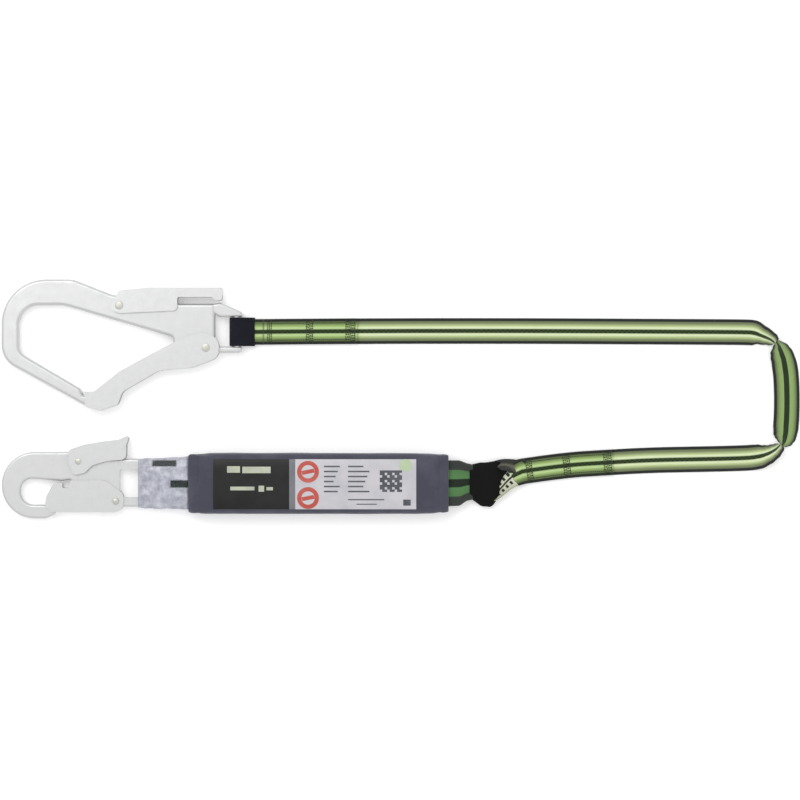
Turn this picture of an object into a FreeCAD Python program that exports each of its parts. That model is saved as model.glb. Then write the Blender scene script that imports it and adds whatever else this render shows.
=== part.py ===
import FreeCAD, Part
import math
import os

from FreeCAD import Vector

# Shock absorbing lanyard laid out flat, in millimetres. +Z is up, +X runs from the hooks
# towards the bend of the strap, and the floor is z = 0.

# driving dimensions: strap and webbing
STRAP_WIDTH = 28.0
STRAP_THICK = 2.2
STRAP_Y = 73.0              # centre line of the strap where it leaves the scaffold hook
TEAR_WIDTH = 45.0           # webbing folded inside the absorber
LOOP_WIDTH = 50.0           # webbing loops at the two ends of the absorber
SLEEVE_THICK = 0.8
LAYER_GAP = 0.1
STRAP_ROUTE = [
    (6, 73.0), (110, 74.0), (290, 74.2), (435, 73.4), (508, 73.2), (545, 72.5),
    (568, 57.5), (579.4, 16), (582.4, -11), (581.6, -38), (564.9, -57.9),
    (535.5, -64.2), (490, -65.6), (436, -66.6), (388, -69.2), (340, -72.2), (293, -79.3),
]

# driving dimensions: energy absorber
PACK_X = (-66.0, 215.5)
PACK_Y = -91.5
PACK_WIDTH = 66.0
PACK_HEIGHT = 32.0
COVER_WALL = 1.2
SLOT_HEIGHT = 12.0
TEAR_LAYERS = 8
TEAR_PITCH = 2.8

# driving dimensions: scaffold hook
SCAFFOLD_THICK = 16.0
SHEET = 2.2                 # gate and lever side plates
SIDE_GAP = 0.3              # between a plate and the hook body
SCAFFOLD_GATE_PIVOT = (-47.5, 55.5)
SCAFFOLD_LEVER_PIVOT = (-141.5, 101.5)
SCAFFOLD_RIVET_R = 4.0
SCAFFOLD_EYE_X = -14.5
SCAFFOLD_BAR_R = 4.5
SCAFFOLD_EDGE_R = 3.4
SCAFFOLD_ARM_EDGE_R = 2.4
SCAFFOLD_HALF_EYE = 16.0    # half of the eye's opening, along its bar
SCAFFOLD_SPRING_R = 6.0     # coil radius of the springs round the rivets
SCAFFOLD_SPRING_WIRE_R = 0.8
SCAFFOLD_POCKET_R = 8.2     # pocket in the forging that holds a spring
SCAFFOLD_POCKET_HALF = 2.8

# driving dimensions: snap hook
SNAP_THICK = 14.4
SNAP_SHEET = 1.4
SNAP_GATE_PIVOT = (-145.5, -111.0)
SNAP_LEVER_PIVOT = (-186.0, -68.0)
SNAP_RIVET_R = 3.0
SNAP_EYE_X = -114.0
SNAP_BAR_R = 3.8
SNAP_EDGE_R = 2.6
SNAP_HALF_EYE = 15.3
SNAP_SPRING_R = 4.4
SNAP_SPRING_WIRE_R = 0.6
SNAP_POCKET_R = 6.0
SNAP_POCKET_HALF = 2.0
SPRING_TURNS = 3

RUNNING_GAP = 0.05          # radial clearance of a plate on its rivet
WEB_GAP = 0.3               # radial clearance of webbing on an eye bar

os.makedirs("parts", exist_ok=True)


def corner(before, here, after, radius):
    """Tangent points and mid point of the arc that rounds one corner."""
    a = (before - here).normalize()
    b = (after - here).normalize()
    half = a.getAngle(b) / 2
    reach = radius / math.tan(half)
    centre = here + (a + b).normalize() * (radius / math.sin(half))
    middle = centre + (here - centre).normalize() * radius
    return here + a * reach, middle, here + b * reach


def edges_of(points, closed):
    """Lines and tangent arcs through points given as (u, v) or (u, v, radius)."""
    places = [Vector(p[0], p[1], 0) for p in points]
    radii = [p[2] if len(p) > 2 else 0 for p in points]
    count = len(points)
    stops = []
    for i, place in enumerate(places):
        at_end = not closed and i in (0, count - 1)
        if radii[i] > 0 and not at_end:
            stops.append(corner(places[i - 1], place, places[(i + 1) % count], radii[i]))
        else:
            stops.append((place, None, place))
    edges = []
    for i, (start, middle, end) in enumerate(stops):
        if middle is not None:
            edges.append(Part.Arc(start, middle, end).toShape())
        if i + 1 < count or closed:
            following = stops[(i + 1) % count][0]
            if end.distanceToPoint(following) > 1e-4:
                edges.append(Part.LineSegment(end, following).toShape())
    return edges


def face_of(points):
    return Part.Face(Part.Wire(edges_of(points, True)))


def plate(points, low, high):
    """Flat piece with a rounded outline, from z = low to z = high."""
    flat = face_of(points)
    flat.translate(Vector(0, 0, low))
    return flat.extrude(Vector(0, 0, high - low))


def side_profile(points, y_low, y_high):
    """Piece whose outline is drawn in X and Z, and that runs along Y."""
    flat = face_of(points)
    flat.rotate(Vector(0, 0, 0), Vector(1, 0, 0), 90)
    flat.translate(Vector(0, y_high, 0))
    return flat.extrude(Vector(0, y_low - y_high, 0))


def shifted(points, offset):
    """The same rounded line moved sideways, to its left for a positive offset."""
    places = [Vector(p[0], p[1], 0) for p in points]
    result = []
    for i, place in enumerate(places):
        before = (place - places[i - 1]).normalize() if i else None
        after = (places[i + 1] - place).normalize() if i + 1 < len(places) else before
        before = before or after
        left_in = Vector(-before.y, before.x, 0)
        left_out = Vector(-after.y, after.x, 0)
        across = (left_in + left_out).normalize()
        move = across * (offset / across.dot(left_in))
        turn_left = before.cross(after).z > 0
        radius = points[i][2] if len(points[i]) > 2 else 0
        if radius:
            radius = radius - offset if turn_left else radius + offset
        result.append((place.x + move.x, place.y + move.y, radius))
    return result


def band(points, thick):
    """Closed outline of a strip of even thickness along a rounded centre line."""
    left = shifted(points, thick / 2)
    right = shifted(points, -thick / 2)
    return left + right[::-1]


def softened(flat_piece, radius):
    """Round the edges of a flat piece's two outlines, as on a forging."""
    box = flat_piece.BoundBox
    rims = []
    for edge in flat_piece.Edges:
        edge_box = edge.BoundBox
        level = edge_box.ZLength < 1e-6
        at_face = min(abs(edge_box.ZMin - box.ZMin), abs(edge_box.ZMin - box.ZMax)) < 1e-6
        if level and at_face:
            rims.append(edge)
    return flat_piece.makeFillet(radius, rims)


def rod(x, y, low, high, radius):
    return Part.makeCylinder(radius, high - low, Vector(x, y, low))


def bar_along_y(x, z, y_low, y_high, radius):
    return Part.makeCylinder(radius, y_high - y_low, Vector(x, y_low, z), Vector(0, 1, 0))


def block(x_low, x_high, y_low, y_high, z_low, z_high):
    corner_place = Vector(x_low, y_low, z_low)
    return Part.makeBox(x_high - x_low, y_high - y_low, z_high - z_low, corner_place)


def joined(pieces):
    return pieces[0].fuse(pieces[1:]).removeSplitter()


def save(name, *pieces):
    """Write one node. Several pieces stay separate solids of that node."""
    solids = [solid for piece in pieces for solid in piece.Solids]
    shape = solids[0] if len(solids) == 1 else Part.makeCompound(solids)
    bad = [solid for solid in solids if not solid.isValid()]
    shape.exportStep(os.path.join("parts", name + ".step"))
    box = shape.BoundBox
    note = " INVALID" if bad else ""
    print("%-22s %2d solids %9.1f mm3  x %.1f..%.1f y %.1f..%.1f z %.1f..%.1f%s" % (
        name, len(solids), shape.Volume, box.XMin, box.XMax, box.YMin, box.YMax,
        box.ZMin, box.ZMax, note))


def routed(points):
    """Give each inner point of a route the largest arc that its two runs allow."""
    places = [Vector(x, y, 0) for x, y in points]
    result = [points[0]]
    for i in range(1, len(places) - 1):
        run_in = places[i] - places[i - 1]
        run_out = places[i + 1] - places[i]
        turn = run_in.getAngle(run_out)
        radius = 0.45 * min(run_in.Length, run_out.Length) / math.tan(turn / 2)
        print("route point %2d turn %5.1f deg radius %8.1f mm" % (i, math.degrees(turn), radius))
        result.append((points[i][0], points[i][1], radius))
    result.append(points[-1])
    return result


def wrap_line(start, end, centre, radius):
    """Centre line of webbing that comes from start, goes round a bar on its -X side and ends at end."""
    def tangent_meets_left(point, upper):
        away = Vector(point[0] - centre[0], point[1] - centre[1], 0)
        lean = math.acos(radius / away.Length)
        angle = math.atan2(away.y, away.x) + (lean if upper else -lean)
        touch = Vector(centre[0] + radius * math.cos(angle), centre[1] + radius * math.sin(angle), 0)
        slope = (touch.y - point[1]) / (touch.x - point[0])
        left = centre[0] - radius
        return left, point[1] + slope * (left - point[0])
    top = tangent_meets_left(start, True)
    bottom = tangent_meets_left(end, False)
    return [start, (top[0], top[1], radius), (bottom[0], bottom[1], radius), end]


def torsion_spring(centre, z_middle, coil_radius, wire_radius):
    """Turns of a spring round a rivet, each its own ring, side by side."""
    pitch = wire_radius * 2.15
    rings = []
    for i in range(SPRING_TURNS):
        z = z_middle + (i - (SPRING_TURNS - 1) / 2) * pitch
        rings.append(Part.makeTorus(coil_radius, wire_radius, Vector(centre[0], centre[1], z)))
    return rings


# ---- scaffold hook -------------------------------------------------------------------

def scaffold_body():
    low = SHEET + SIDE_GAP
    high = SCAFFOLD_THICK - low
    outer = [
        (-37.5, 103.5, 3), (-76, 103.5, 30), (-120, 108, 40), (-150, 113.5, 20),
        (-192, 130, 26), (-270, 130, 49), (-270, 42.5, 27), (-176, -9, 4),
        (-169.5, -4, 3), (-172, 2, 2), (-181, 4.5, 2), (-184, 11.3, 4),
        (-250.5, 50.5, 14), (-250.5, 101.5, 21), (-202, 101.5, 20), (-140, 83.5, 30),
        (-81, 66.5, 5), (-86, 58, 4), (-75, 45, 8), (-56, 41.5, 10), (-37.5, 44, 4),
    ]
    body = softened(plate(outer, low, high), SCAFFOLD_EDGE_R)
    arm_low = low + 0.5
    arm_high = high - 0.5
    eye_top = STRAP_Y + SCAFFOLD_HALF_EYE
    eye_bottom = STRAP_Y - SCAFFOLD_HALF_EYE
    upper = [
        (-42, 103, 4), (-31, 104.5, 8), (-8.5, 94.5, 3), (-8.5, eye_top, 2), (-33, eye_top, 5),
        (-42, 95, 3),
    ]
    lower = [(-42, eye_bottom, 2), (-8.5, eye_bottom, 2), (-8.5, 50, 4), (-42, 50, 2)]
    middle = SCAFFOLD_THICK / 2
    bar = bar_along_y(SCAFFOLD_EYE_X, middle, eye_bottom - 3, eye_top + 3, SCAFFOLD_BAR_R)
    arms = [softened(plate(arm, arm_low, arm_high), SCAFFOLD_ARM_EDGE_R) for arm in (upper, lower)]
    shape = joined([body] + arms + [bar])
    for x, y in (SCAFFOLD_GATE_PIVOT, SCAFFOLD_LEVER_PIVOT):
        pocket_low = middle - SCAFFOLD_POCKET_HALF
        pocket_high = middle + SCAFFOLD_POCKET_HALF
        shape = shape.cut(rod(x, y, low - 1, high + 1, SCAFFOLD_RIVET_R))
        shape = shape.cut(rod(x, y, pocket_low, pocket_high, SCAFFOLD_POCKET_R))
    return shape


def two_plates(outline, sheet, thick, inset=0.0):
    """Both side plates of a folded channel."""
    lower = plate(outline, inset, inset + sheet)
    upper = plate(outline, thick - inset - sheet, thick - inset)
    return [lower, upper]


def scaffold_gate():
    x, y = SCAFFOLD_GATE_PIVOT
    outline = [
        (-179, 8, 3), (-169, 8, 4), (-142, 29.5, 20), (-109, 47.5, 30), (-74, 66, 20), (-52, 72, 14),
        (-33.5, 66, 12), (-33.5, 45, 12), (-62, 34, 20), (-98, 31, 30), (-138, 8, 10),
        (-143, -6, 6), (-163, -13, 6), (-179, -8.5, 5),
    ]
    web = [
        (-179, 8, 0), (-169, 8, 0), (-141.5, 30, 0), (-139.8, 27.6, 0), (-168, 5.4, 0),
        (-179, 5.4, 0),
    ]
    pieces = two_plates(outline, SHEET, SCAFFOLD_THICK)
    pieces.append(plate(web, SHEET / 2, SCAFFOLD_THICK - SHEET / 2))
    shape = joined(pieces)
    return shape.cut(rod(x, y, -1, SCAFFOLD_THICK + 1, SCAFFOLD_RIVET_R + RUNNING_GAP))


def scaffold_lever():
    x, y = SCAFFOLD_LEVER_PIVOT
    outline = [
        (-150, 104, 6), (-141, 118, 5), (-109.5, 120.9, 0), (-30, 120.9, 3), (-30, 107, 3),
        (-37, 107, 2), (-41, 110.5, 4), (-78.5, 110.5, 2), (-78.5, 96, 5), (-141, 93, 9), (-150, 96, 5),
    ]
    web = [(-142, 117.4, 0), (-109.5, 121, 0), (-30, 121, 0), (-30, 113, 0), (-32, 113, 0),
           (-32, 118.6, 0), (-109.5, 118.6, 0), (-142, 115, 0)]
    pieces = two_plates(outline, SHEET, SCAFFOLD_THICK)
    pieces.append(plate(web, SHEET / 2, SCAFFOLD_THICK - SHEET / 2))
    shape = joined(pieces)
    return shape.cut(rod(x, y, -1, SCAFFOLD_THICK + 1, SCAFFOLD_RIVET_R + RUNNING_GAP))


def make_scaffold_hook():
    save("scaffold_body", scaffold_body())
    save("scaffold_gate", scaffold_gate())
    save("scaffold_lever", scaffold_lever())
    middle = SCAFFOLD_THICK / 2
    for name, centre in (("gate", SCAFFOLD_GATE_PIVOT), ("lever", SCAFFOLD_LEVER_PIVOT)):
        pin = rod(centre[0], centre[1], 0.1, SCAFFOLD_THICK - 0.1, SCAFFOLD_RIVET_R)
        save("scaffold_" + name + "_rivet", pin)
        spring = torsion_spring(centre, middle, SCAFFOLD_SPRING_R, SCAFFOLD_SPRING_WIRE_R)
        save("scaffold_" + name + "_spring", *spring)


# ---- snap hook -----------------------------------------------------------------------

def snap_body():
    low = SNAP_SHEET * 2 + SIDE_GAP * 2
    high = SNAP_THICK - low
    outer = [
        (-198, -57.5, 14), (-270, -57.5, 36), (-270, -130, 36), (-221, -130, 9), (-210.5, -125, 3),
        (-213, -117.5, 2), (-224, -114.8, 2), (-249, -114.8, 14), (-249, -86, 12), (-204, -89, 3),
        (-194.6, -87.5, 2), (-194.6, -98, 4), (-166, -102, 6),
        (-154.5, -111, 6), (-151, -119.5, 6), (-141, -119.5, 4), (-137, -117.5, 4), (-110.2, -117.5, 6),
        (-110.2, -65, 6), (-164, -65, 20),
    ]
    eye_low = PACK_Y - SNAP_HALF_EYE
    eye_high = PACK_Y + SNAP_HALF_EYE
    body = softened(plate(outer, low, high), SNAP_EDGE_R)
    eye = [(-141.5, eye_high, 3), (-109, eye_high, 0), (-109, eye_low, 0), (-141.5, eye_low, 3)]
    bar = bar_along_y(SNAP_EYE_X, SNAP_THICK / 2, eye_low - 3, eye_high + 3, SNAP_BAR_R)
    shape = joined([body.cut(plate(eye, low - 1, high + 1)), bar])
    for x, y in (SNAP_GATE_PIVOT, SNAP_LEVER_PIVOT):
        pocket_low = SNAP_THICK / 2 - SNAP_POCKET_HALF
        pocket_high = SNAP_THICK / 2 + SNAP_POCKET_HALF
        shape = shape.cut(rod(x, y, low - 1, high + 1, SNAP_RIVET_R))
        shape = shape.cut(rod(x, y, pocket_low, pocket_high, SNAP_POCKET_R))
    return shape


def snap_gate():
    x, y = SNAP_GATE_PIVOT
    outline = [
        (-213, -91, 5), (-203.5, -91, 1), (-203.5, -96.5, 1), (-195, -96.5, 1), (-195, -88.3, 2),
        (-157, -88.3, 12), (-137, -103, 10), (-137, -118, 8), (-145, -123, 6),
        (-215, -123, 5), (-222.5, -116, 5), (-221, -106, 5),
    ]
    inset = SNAP_SHEET + SIDE_GAP
    web = block(-206, -163, -123, -121, inset + 0.4, SNAP_THICK - inset - 0.4)
    latch = rod(-216.5, -112.5, inset + 0.4, SNAP_THICK - inset - 0.4, 1.8)
    shape = joined(two_plates(outline, SNAP_SHEET, SNAP_THICK, inset) + [web, latch])
    return shape.cut(rod(x, y, -1, SNAP_THICK + 1, SNAP_RIVET_R + RUNNING_GAP))


def snap_lever():
    x, y = SNAP_LEVER_PIVOT
    outline = [
        (-196, -55, 4), (-179.5, -49.5, 6), (-157, -45.8, 20), (-143, -44.3, 8), (-133.5, -40.2, 1),
        (-131.5, -42.5, 1), (-134, -50, 4), (-134, -65.5, 6), (-156.5, -67.5, 12), (-171, -72, 10),
        (-179, -80, 8), (-191, -83, 5), (-197, -70, 8),
    ]
    web = [
        (-180, -49.6, 0), (-157, -45.8, 20), (-143, -44.3, 8), (-133.5, -40.2, 0),
        (-132.6, -41.8, 0), (-142.5, -46, 8), (-157, -47.6, 20), (-180, -51.4, 0),
    ]
    pieces = two_plates(outline, SNAP_SHEET, SNAP_THICK)
    pieces.append(plate(web, SNAP_SHEET / 2, SNAP_THICK - SNAP_SHEET / 2))
    shape = joined(pieces)
    return shape.cut(rod(x, y, -1, SNAP_THICK + 1, SNAP_RIVET_R + RUNNING_GAP))


def make_snap_hook():
    save("snap_body", snap_body())
    save("snap_gate", snap_gate())
    save("snap_lever", snap_lever())
    inset = SNAP_SHEET + SIDE_GAP
    gate_x, gate_y = SNAP_GATE_PIVOT
    lever_x, lever_y = SNAP_LEVER_PIVOT
    save("snap_gate_rivet", rod(gate_x, gate_y, inset - 1.0, SNAP_THICK - inset + 1.0, SNAP_RIVET_R))
    save("snap_lever_rivet", rod(lever_x, lever_y, 0.1, SNAP_THICK - 0.1, SNAP_RIVET_R))
    for name, centre in (("gate", SNAP_GATE_PIVOT), ("lever", SNAP_LEVER_PIVOT)):
        spring = torsion_spring(centre, SNAP_THICK / 2, SNAP_SPRING_R, SNAP_SPRING_WIRE_R)
        save("snap_" + name + "_spring", *spring)


# ---- energy absorber -----------------------------------------------------------------

def rounded_tube(x_low, x_high, y_middle, width, z_low, height, wall, radius):
    """Tube along X with a rounded rectangular section."""
    def section(inset, extra):
        half = width / 2 - inset
        low = z_low + inset
        high = z_low + height - inset
        fillet = max(radius - inset, 0.5)
        outline = [
            (-half, low, fillet), (half, low, fillet), (half, high, fillet), (-half, high, fillet),
        ]
        flat = face_of(outline)
        flat.rotate(Vector(0, 0, 0), Vector(1, 0, 0), 90)
        flat.rotate(Vector(0, 0, 0), Vector(0, 0, 1), 90)
        flat.translate(Vector(x_low - extra, y_middle, 0))
        return flat.extrude(Vector(x_high - x_low + 2 * extra, 0, 0))
    return section(0, 0).cut(section(wall, 1.0))


def absorber_cover():
    x_low, x_high = PACK_X
    tube = rounded_tube(x_low, x_high, PACK_Y, PACK_WIDTH, 0, PACK_HEIGHT, COVER_WALL, 8.0)
    end_low = block(x_low, x_low + COVER_WALL, PACK_Y - 31, PACK_Y + 31, 2, PACK_HEIGHT - 2)
    end_high = block(x_high - COVER_WALL, x_high, PACK_Y - 31, PACK_Y + 31, 2, PACK_HEIGHT - 2)
    slot_z = PACK_HEIGHT / 2 - SLOT_HEIGHT / 2
    slot = block(x_low - 2, x_high + 2, PACK_Y - 26, PACK_Y + 26, slot_z, slot_z + SLOT_HEIGHT)
    return joined([tube, end_low, end_high]).cut(slot)


def tear_webbing():
    """Tear webbing folded back and forth, one layer on another."""
    x_low = PACK_X[0] + 14
    x_high = PACK_X[1] - 14
    first = PACK_HEIGHT / 2 - TEAR_PITCH * (TEAR_LAYERS - 1) / 2
    line = [(x_low, first)]
    for i in range(TEAR_LAYERS - 1):
        x = x_high if i % 2 == 0 else x_low
        z = first + TEAR_PITCH * i
        line.append((x, z, TEAR_PITCH / 2))
        line.append((x, z + TEAR_PITCH, TEAR_PITCH / 2))
    last_x = x_low if (TEAR_LAYERS - 1) % 2 else x_high
    line.append((last_x, first + TEAR_PITCH * (TEAR_LAYERS - 1)))
    half = TEAR_WIDTH / 2
    return side_profile(band(line, STRAP_THICK), PACK_Y - half, PACK_Y + half)


def tear_stitches():
    """Rows of stitching across the folded webbing, seen as ridges on its upper face."""
    top = PACK_HEIGHT / 2 + TEAR_PITCH * (TEAR_LAYERS - 1) / 2 + STRAP_THICK / 2
    rows = []
    for i in range(9):
        x = PACK_X[0] + 30 + i * 27.5
        rows.append(block(x, x + 1.6, PACK_Y - 18, PACK_Y + 18, top, top + 0.6))
    return rows


def snap_end_loop():
    centre = (SNAP_EYE_X, SNAP_THICK / 2)
    radius = SNAP_BAR_R + WEB_GAP + STRAP_THICK / 2
    line = wrap_line((-53, 18.2), (-53, 14.6), centre, radius)
    half = LOOP_WIDTH / 2
    shape = side_profile(band(line, STRAP_THICK), PACK_Y - half, PACK_Y + half)
    narrow = 14.0
    plan = [
        (-50, PACK_Y + half), (-94, PACK_Y + half), (-104, PACK_Y + narrow), (-125, PACK_Y + narrow),
        (-125, PACK_Y - narrow), (-104, PACK_Y - narrow), (-94, PACK_Y - half), (-50, PACK_Y - half),
    ]
    return shape.common(plate(plan, -1, PACK_HEIGHT))


def film_sleeve():
    x_high = PACK_X[0] - 0.3
    return rounded_tube(-92.0, x_high, PACK_Y, 58.0, 3.0, 18.5, 0.6, 5.0)


def link_end_loop():
    """Wide webbing loop at the strap end of the absorber, bunched where the strap is linked."""
    line = [
        (203.2, 18.2), (219, 18.2, 8), (238, 10.6, 8), (262.4, 10.6, 4.39), (262.4, 1.8, 4.39),
        (236, 1.8, 8), (219, 14.4, 8), (203.2, 14.4),
    ]
    half = LOOP_WIDTH / 2
    shape = side_profile(band(line, STRAP_THICK), PACK_Y - half, PACK_Y + half)
    plan = [
        (200, PACK_Y + half), (228, PACK_Y + half - 0.5), (238, -71.9), (247, -75.0), (266, -75.0),
        (266, -107.0), (238, -107.0), (226, PACK_Y - half + 3), (200, PACK_Y - half),
    ]
    return shape.common(plate(plan, -1, PACK_HEIGHT))


def link_boot():
    """Chafe boot drawn over the link between the absorber loop and the strap loop."""
    outer = [
        (238.5, -69.8, 2), (256, -67.4, 5), (270, -66.6, 3), (270, -108, 12), (262, -118, 8),
        (250, -117, 8), (238.5, -108.6, 2),
    ]
    inner = [
        (230, -71.2), (256, -68.6), (280, -67.6), (280, -116.6), (262, -116.6),
        (251, -115.8), (240, -107.3), (230, -107.3),
    ]
    return plate(outer, 0, 12.6).cut(plate(inner, 0.5, 12.1))


def labels():
    top = PACK_HEIGHT
    y_low = PACK_Y - 27.5
    y_high = PACK_Y + 26.5
    save("label_black", block(-38.5, 43.4, y_low, y_high, top, top + 0.4))
    save("label_divider", block(43.5, 49.9, y_low, y_high, top, top + 0.3))
    save("label_white", block(50.0, 180.5, y_low, y_high, top, top + 0.4))


def make_absorber():
    save("absorber_cover", absorber_cover())
    inner = rounded_tube(PACK_X[0] + 8, PACK_X[1] - 8, PACK_Y, 54.0, 2.2, 27.6, 0.6, 3.0)
    save("inner_wrap", inner)
    save("tear_webbing", tear_webbing())
    save("tear_stitches", *tear_stitches())
    save("snap_end_loop", snap_end_loop())
    save("link_end_loop", link_end_loop())
    save("film_sleeve", film_sleeve())
    save("link_boot", link_boot())
    labels()


# ---- strap ---------------------------------------------------------------------------

def make_strap():
    route = routed(STRAP_ROUTE)
    path = Part.Wire(edges_of(route, False))
    strap = plate(band(route, STRAP_WIDTH), 0, STRAP_THICK)
    save("strap", strap)
    expected = path.Length * STRAP_WIDTH * STRAP_THICK
    print("strap length %.1f mm, volume %.0f mm3, section times length %.0f mm3" % (
        path.Length, strap.Volume, expected))


def make_hook_end():
    """Strap end round the scaffold hook's eye bar, its doubled tail, sleeve and stitching."""
    middle = SCAFFOLD_THICK / 2
    half = STRAP_WIDTH / 2
    radius = SCAFFOLD_BAR_R + WEB_GAP + STRAP_THICK / 2
    tail_z = STRAP_THICK * 1.5 + LAYER_GAP
    start = (6.0, SLEEVE_THICK + LAYER_GAP + STRAP_THICK * 1.5 + 0.6)
    end = (5.6, SLEEVE_THICK + LAYER_GAP + STRAP_THICK / 2)
    line = wrap_line(start, end, (SCAFFOLD_EYE_X, middle), radius)
    line = [(117.0, tail_z), (14.0, tail_z, 10.0), (6.0, start[1], 10.0)] + line[1:]
    loop = side_profile(band(line, STRAP_THICK), STRAP_Y - half, STRAP_Y + half)
    save("hook_end_loop", loop)
    step = STRAP_THICK / 2 + LAYER_GAP / 2 + SLEEVE_THICK / 2
    outer = wrap_line((5.0, start[1] + step + 1.0), (5.0, end[1] - step + 0.05),
                      (SCAFFOLD_EYE_X, middle), radius + step)
    sleeve_half = 15.5
    sleeve = side_profile(band(outer, SLEEVE_THICK), STRAP_Y - sleeve_half, STRAP_Y + sleeve_half)
    save("hook_end_sleeve", sleeve)
    top = tail_z + STRAP_THICK / 2
    bars = [block(x, x + wide, STRAP_Y - 11.5, STRAP_Y + 11.5, top, top + 0.5)
            for x, wide in ((19.0, 4.0), (61.0, 7.0), (104.0, 10.0))]
    rows = [block(25.0, 60.0, y, y + 0.8, top, top + 0.5) for y in (STRAP_Y - 9, STRAP_Y + 8.2)]
    rows += [block(69.0, 103.0, y, y + 0.8, top, top + 0.5) for y in (STRAP_Y - 9, STRAP_Y + 8.2)]
    save("hook_end_stitches", *(bars + rows))


def make_link_end():
    """Strap loop through the absorber's webbing loop, with its doubled tail and stitching."""
    low = STRAP_THICK + LAYER_GAP
    high = low + STRAP_THICK
    tail_line = [(289.0, -79.9), (340, -72.2, 300.0), (388, -69.2, 200.0), (396, -69.0)]
    tail = plate(band(tail_line, STRAP_WIDTH), low, high)
    outer = [
        (292, -66, 3), (262, -69.6, 5), (243, -70.8, 2), (239.5, -75, 2), (239.5, -104, 2),
        (244, -109.5, 3), (252, -114.5, 3), (262, -115.4, 3), (268, -111.5, 4), (294, -92, 3),
    ]
    hole = [
        (258.8, -73.9), (281, -73.4), (284, -77), (268, -101), (265, -108.2), (258.8, -108.2),
    ]
    ring = plate(outer, high, high + STRAP_THICK).cut(plate(hole, high - 1, high + STRAP_THICK + 1))
    save("link_loop", joined([tail, ring]))
    bars = [block(x, x + 7.0, y - 10, y + 10, high, high + 0.5)
            for x, y in ((300.0, -77.7), (341.0, -71.7), (386.0, -69.9))]
    rows = [block(350.0, 384.0, y, y + 0.8, high, high + 0.5) for y in (-79.0, -62.8)]
    save("link_end_stitches", *(bars + rows))


make_scaffold_hook()
make_snap_hook()
make_absorber()
make_strap()
make_hook_end()
make_link_end()
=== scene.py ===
import math

import bmesh
import bpy
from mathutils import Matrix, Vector, noise


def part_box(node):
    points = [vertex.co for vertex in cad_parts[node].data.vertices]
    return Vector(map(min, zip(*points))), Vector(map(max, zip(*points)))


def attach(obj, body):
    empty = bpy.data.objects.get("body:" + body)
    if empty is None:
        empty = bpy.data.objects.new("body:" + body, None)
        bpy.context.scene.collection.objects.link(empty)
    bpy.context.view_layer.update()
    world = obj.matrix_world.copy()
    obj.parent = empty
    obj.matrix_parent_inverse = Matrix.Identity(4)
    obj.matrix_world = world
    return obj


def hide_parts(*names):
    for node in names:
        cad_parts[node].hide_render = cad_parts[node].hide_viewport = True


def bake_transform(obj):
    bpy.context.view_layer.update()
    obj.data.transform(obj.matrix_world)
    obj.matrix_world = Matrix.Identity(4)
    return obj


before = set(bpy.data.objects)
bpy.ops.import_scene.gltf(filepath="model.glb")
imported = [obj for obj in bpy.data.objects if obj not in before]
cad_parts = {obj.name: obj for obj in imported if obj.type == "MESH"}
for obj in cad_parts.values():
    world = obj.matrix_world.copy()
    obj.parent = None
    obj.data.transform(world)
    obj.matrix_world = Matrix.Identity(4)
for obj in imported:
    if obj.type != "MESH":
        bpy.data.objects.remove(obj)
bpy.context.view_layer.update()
print("frame loaded, camera next")

up = Vector((0, 0, 1))


# camera, floor and light

studio = {
    "aim": (0.163, -0.0011),
    "frameWidth": 0.872,
    "height": 3.0,
    "sensor": 36.0,
    "viewDepth": 60.0,
    "floorSize": 30.0,
    "floorLevel": -0.0004,
    "skyStrength": 0.76,
    # place, size and power
    "lamps": {"keyLamp": ((-0.7, 1.1, 2.2), 1.6, 22.0),
              "fillLamp": ((1.2, -0.9, 1.8), 2.4, 7.0)},
}


def shown(item):
    bpy.context.scene.collection.objects.link(item)
    return item


def makeStudio():
    camera = shown(bpy.data.objects.new("camera", bpy.data.cameras.new("camera")))
    camera.data.sensor_width = studio["sensor"]
    camera.data.lens = studio["sensor"] * studio["height"] / studio["frameWidth"]
    camera.data.clip_end = studio["viewDepth"]
    camera.location = (*studio["aim"], studio["height"])
    bpy.context.scene.camera = camera
    bpy.context.scene.view_settings.view_transform = "Standard"
    for name, (spot, size, power) in studio["lamps"].items():
        lamp = shown(bpy.data.objects.new(name, bpy.data.lights.new(name, "AREA")))
        lamp.data.size = size
        lamp.data.energy = power
        lamp.location = spot
        aim = Vector((*studio["aim"], 0)) - Vector(spot)
        lamp.rotation_euler = aim.to_track_quat("-Z", "Y").to_euler()
    world = bpy.data.worlds.new("sky")
    world.use_nodes = True
    backdrop = world.node_tree.nodes["Background"]
    backdrop.inputs["Color"].default_value = (1, 1, 1, 1)
    backdrop.inputs["Strength"].default_value = studio["skyStrength"]
    bpy.context.scene.world = world
    half, level = studio["floorSize"] / 2, studio["floorLevel"]
    corners = [(x * half, y * half, level) for x, y in ((-1, -1), (1, -1), (1, 1), (-1, 1))]
    floor = meshObject("floor", corners, [(0, 1, 2, 3)])
    floor.data.materials.append(floorFinish())


# meshes

def meshObject(name, points, faces, charts=None, smooth=True):
    mesh = bpy.data.meshes.new(name)
    mesh.from_pydata([tuple(p) for p in points], [], faces)
    if charts:
        layer = mesh.uv_layers.new(name="weave")
        layer.data.foreach_set("uv", [c for chart in charts for uv in chart for c in uv])
    mesh.polygons.foreach_set("use_smooth", [smooth] * len(faces))
    mesh.update()
    return shown(bpy.data.objects.new(name, mesh))


def outward(piece):
    # closed shells only: every face turned to the outside
    work = bmesh.new()
    work.from_mesh(piece.data)
    bmesh.ops.recalc_face_normals(work, faces=work.faces)
    work.to_mesh(piece.data)
    work.free()
    return piece


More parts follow.
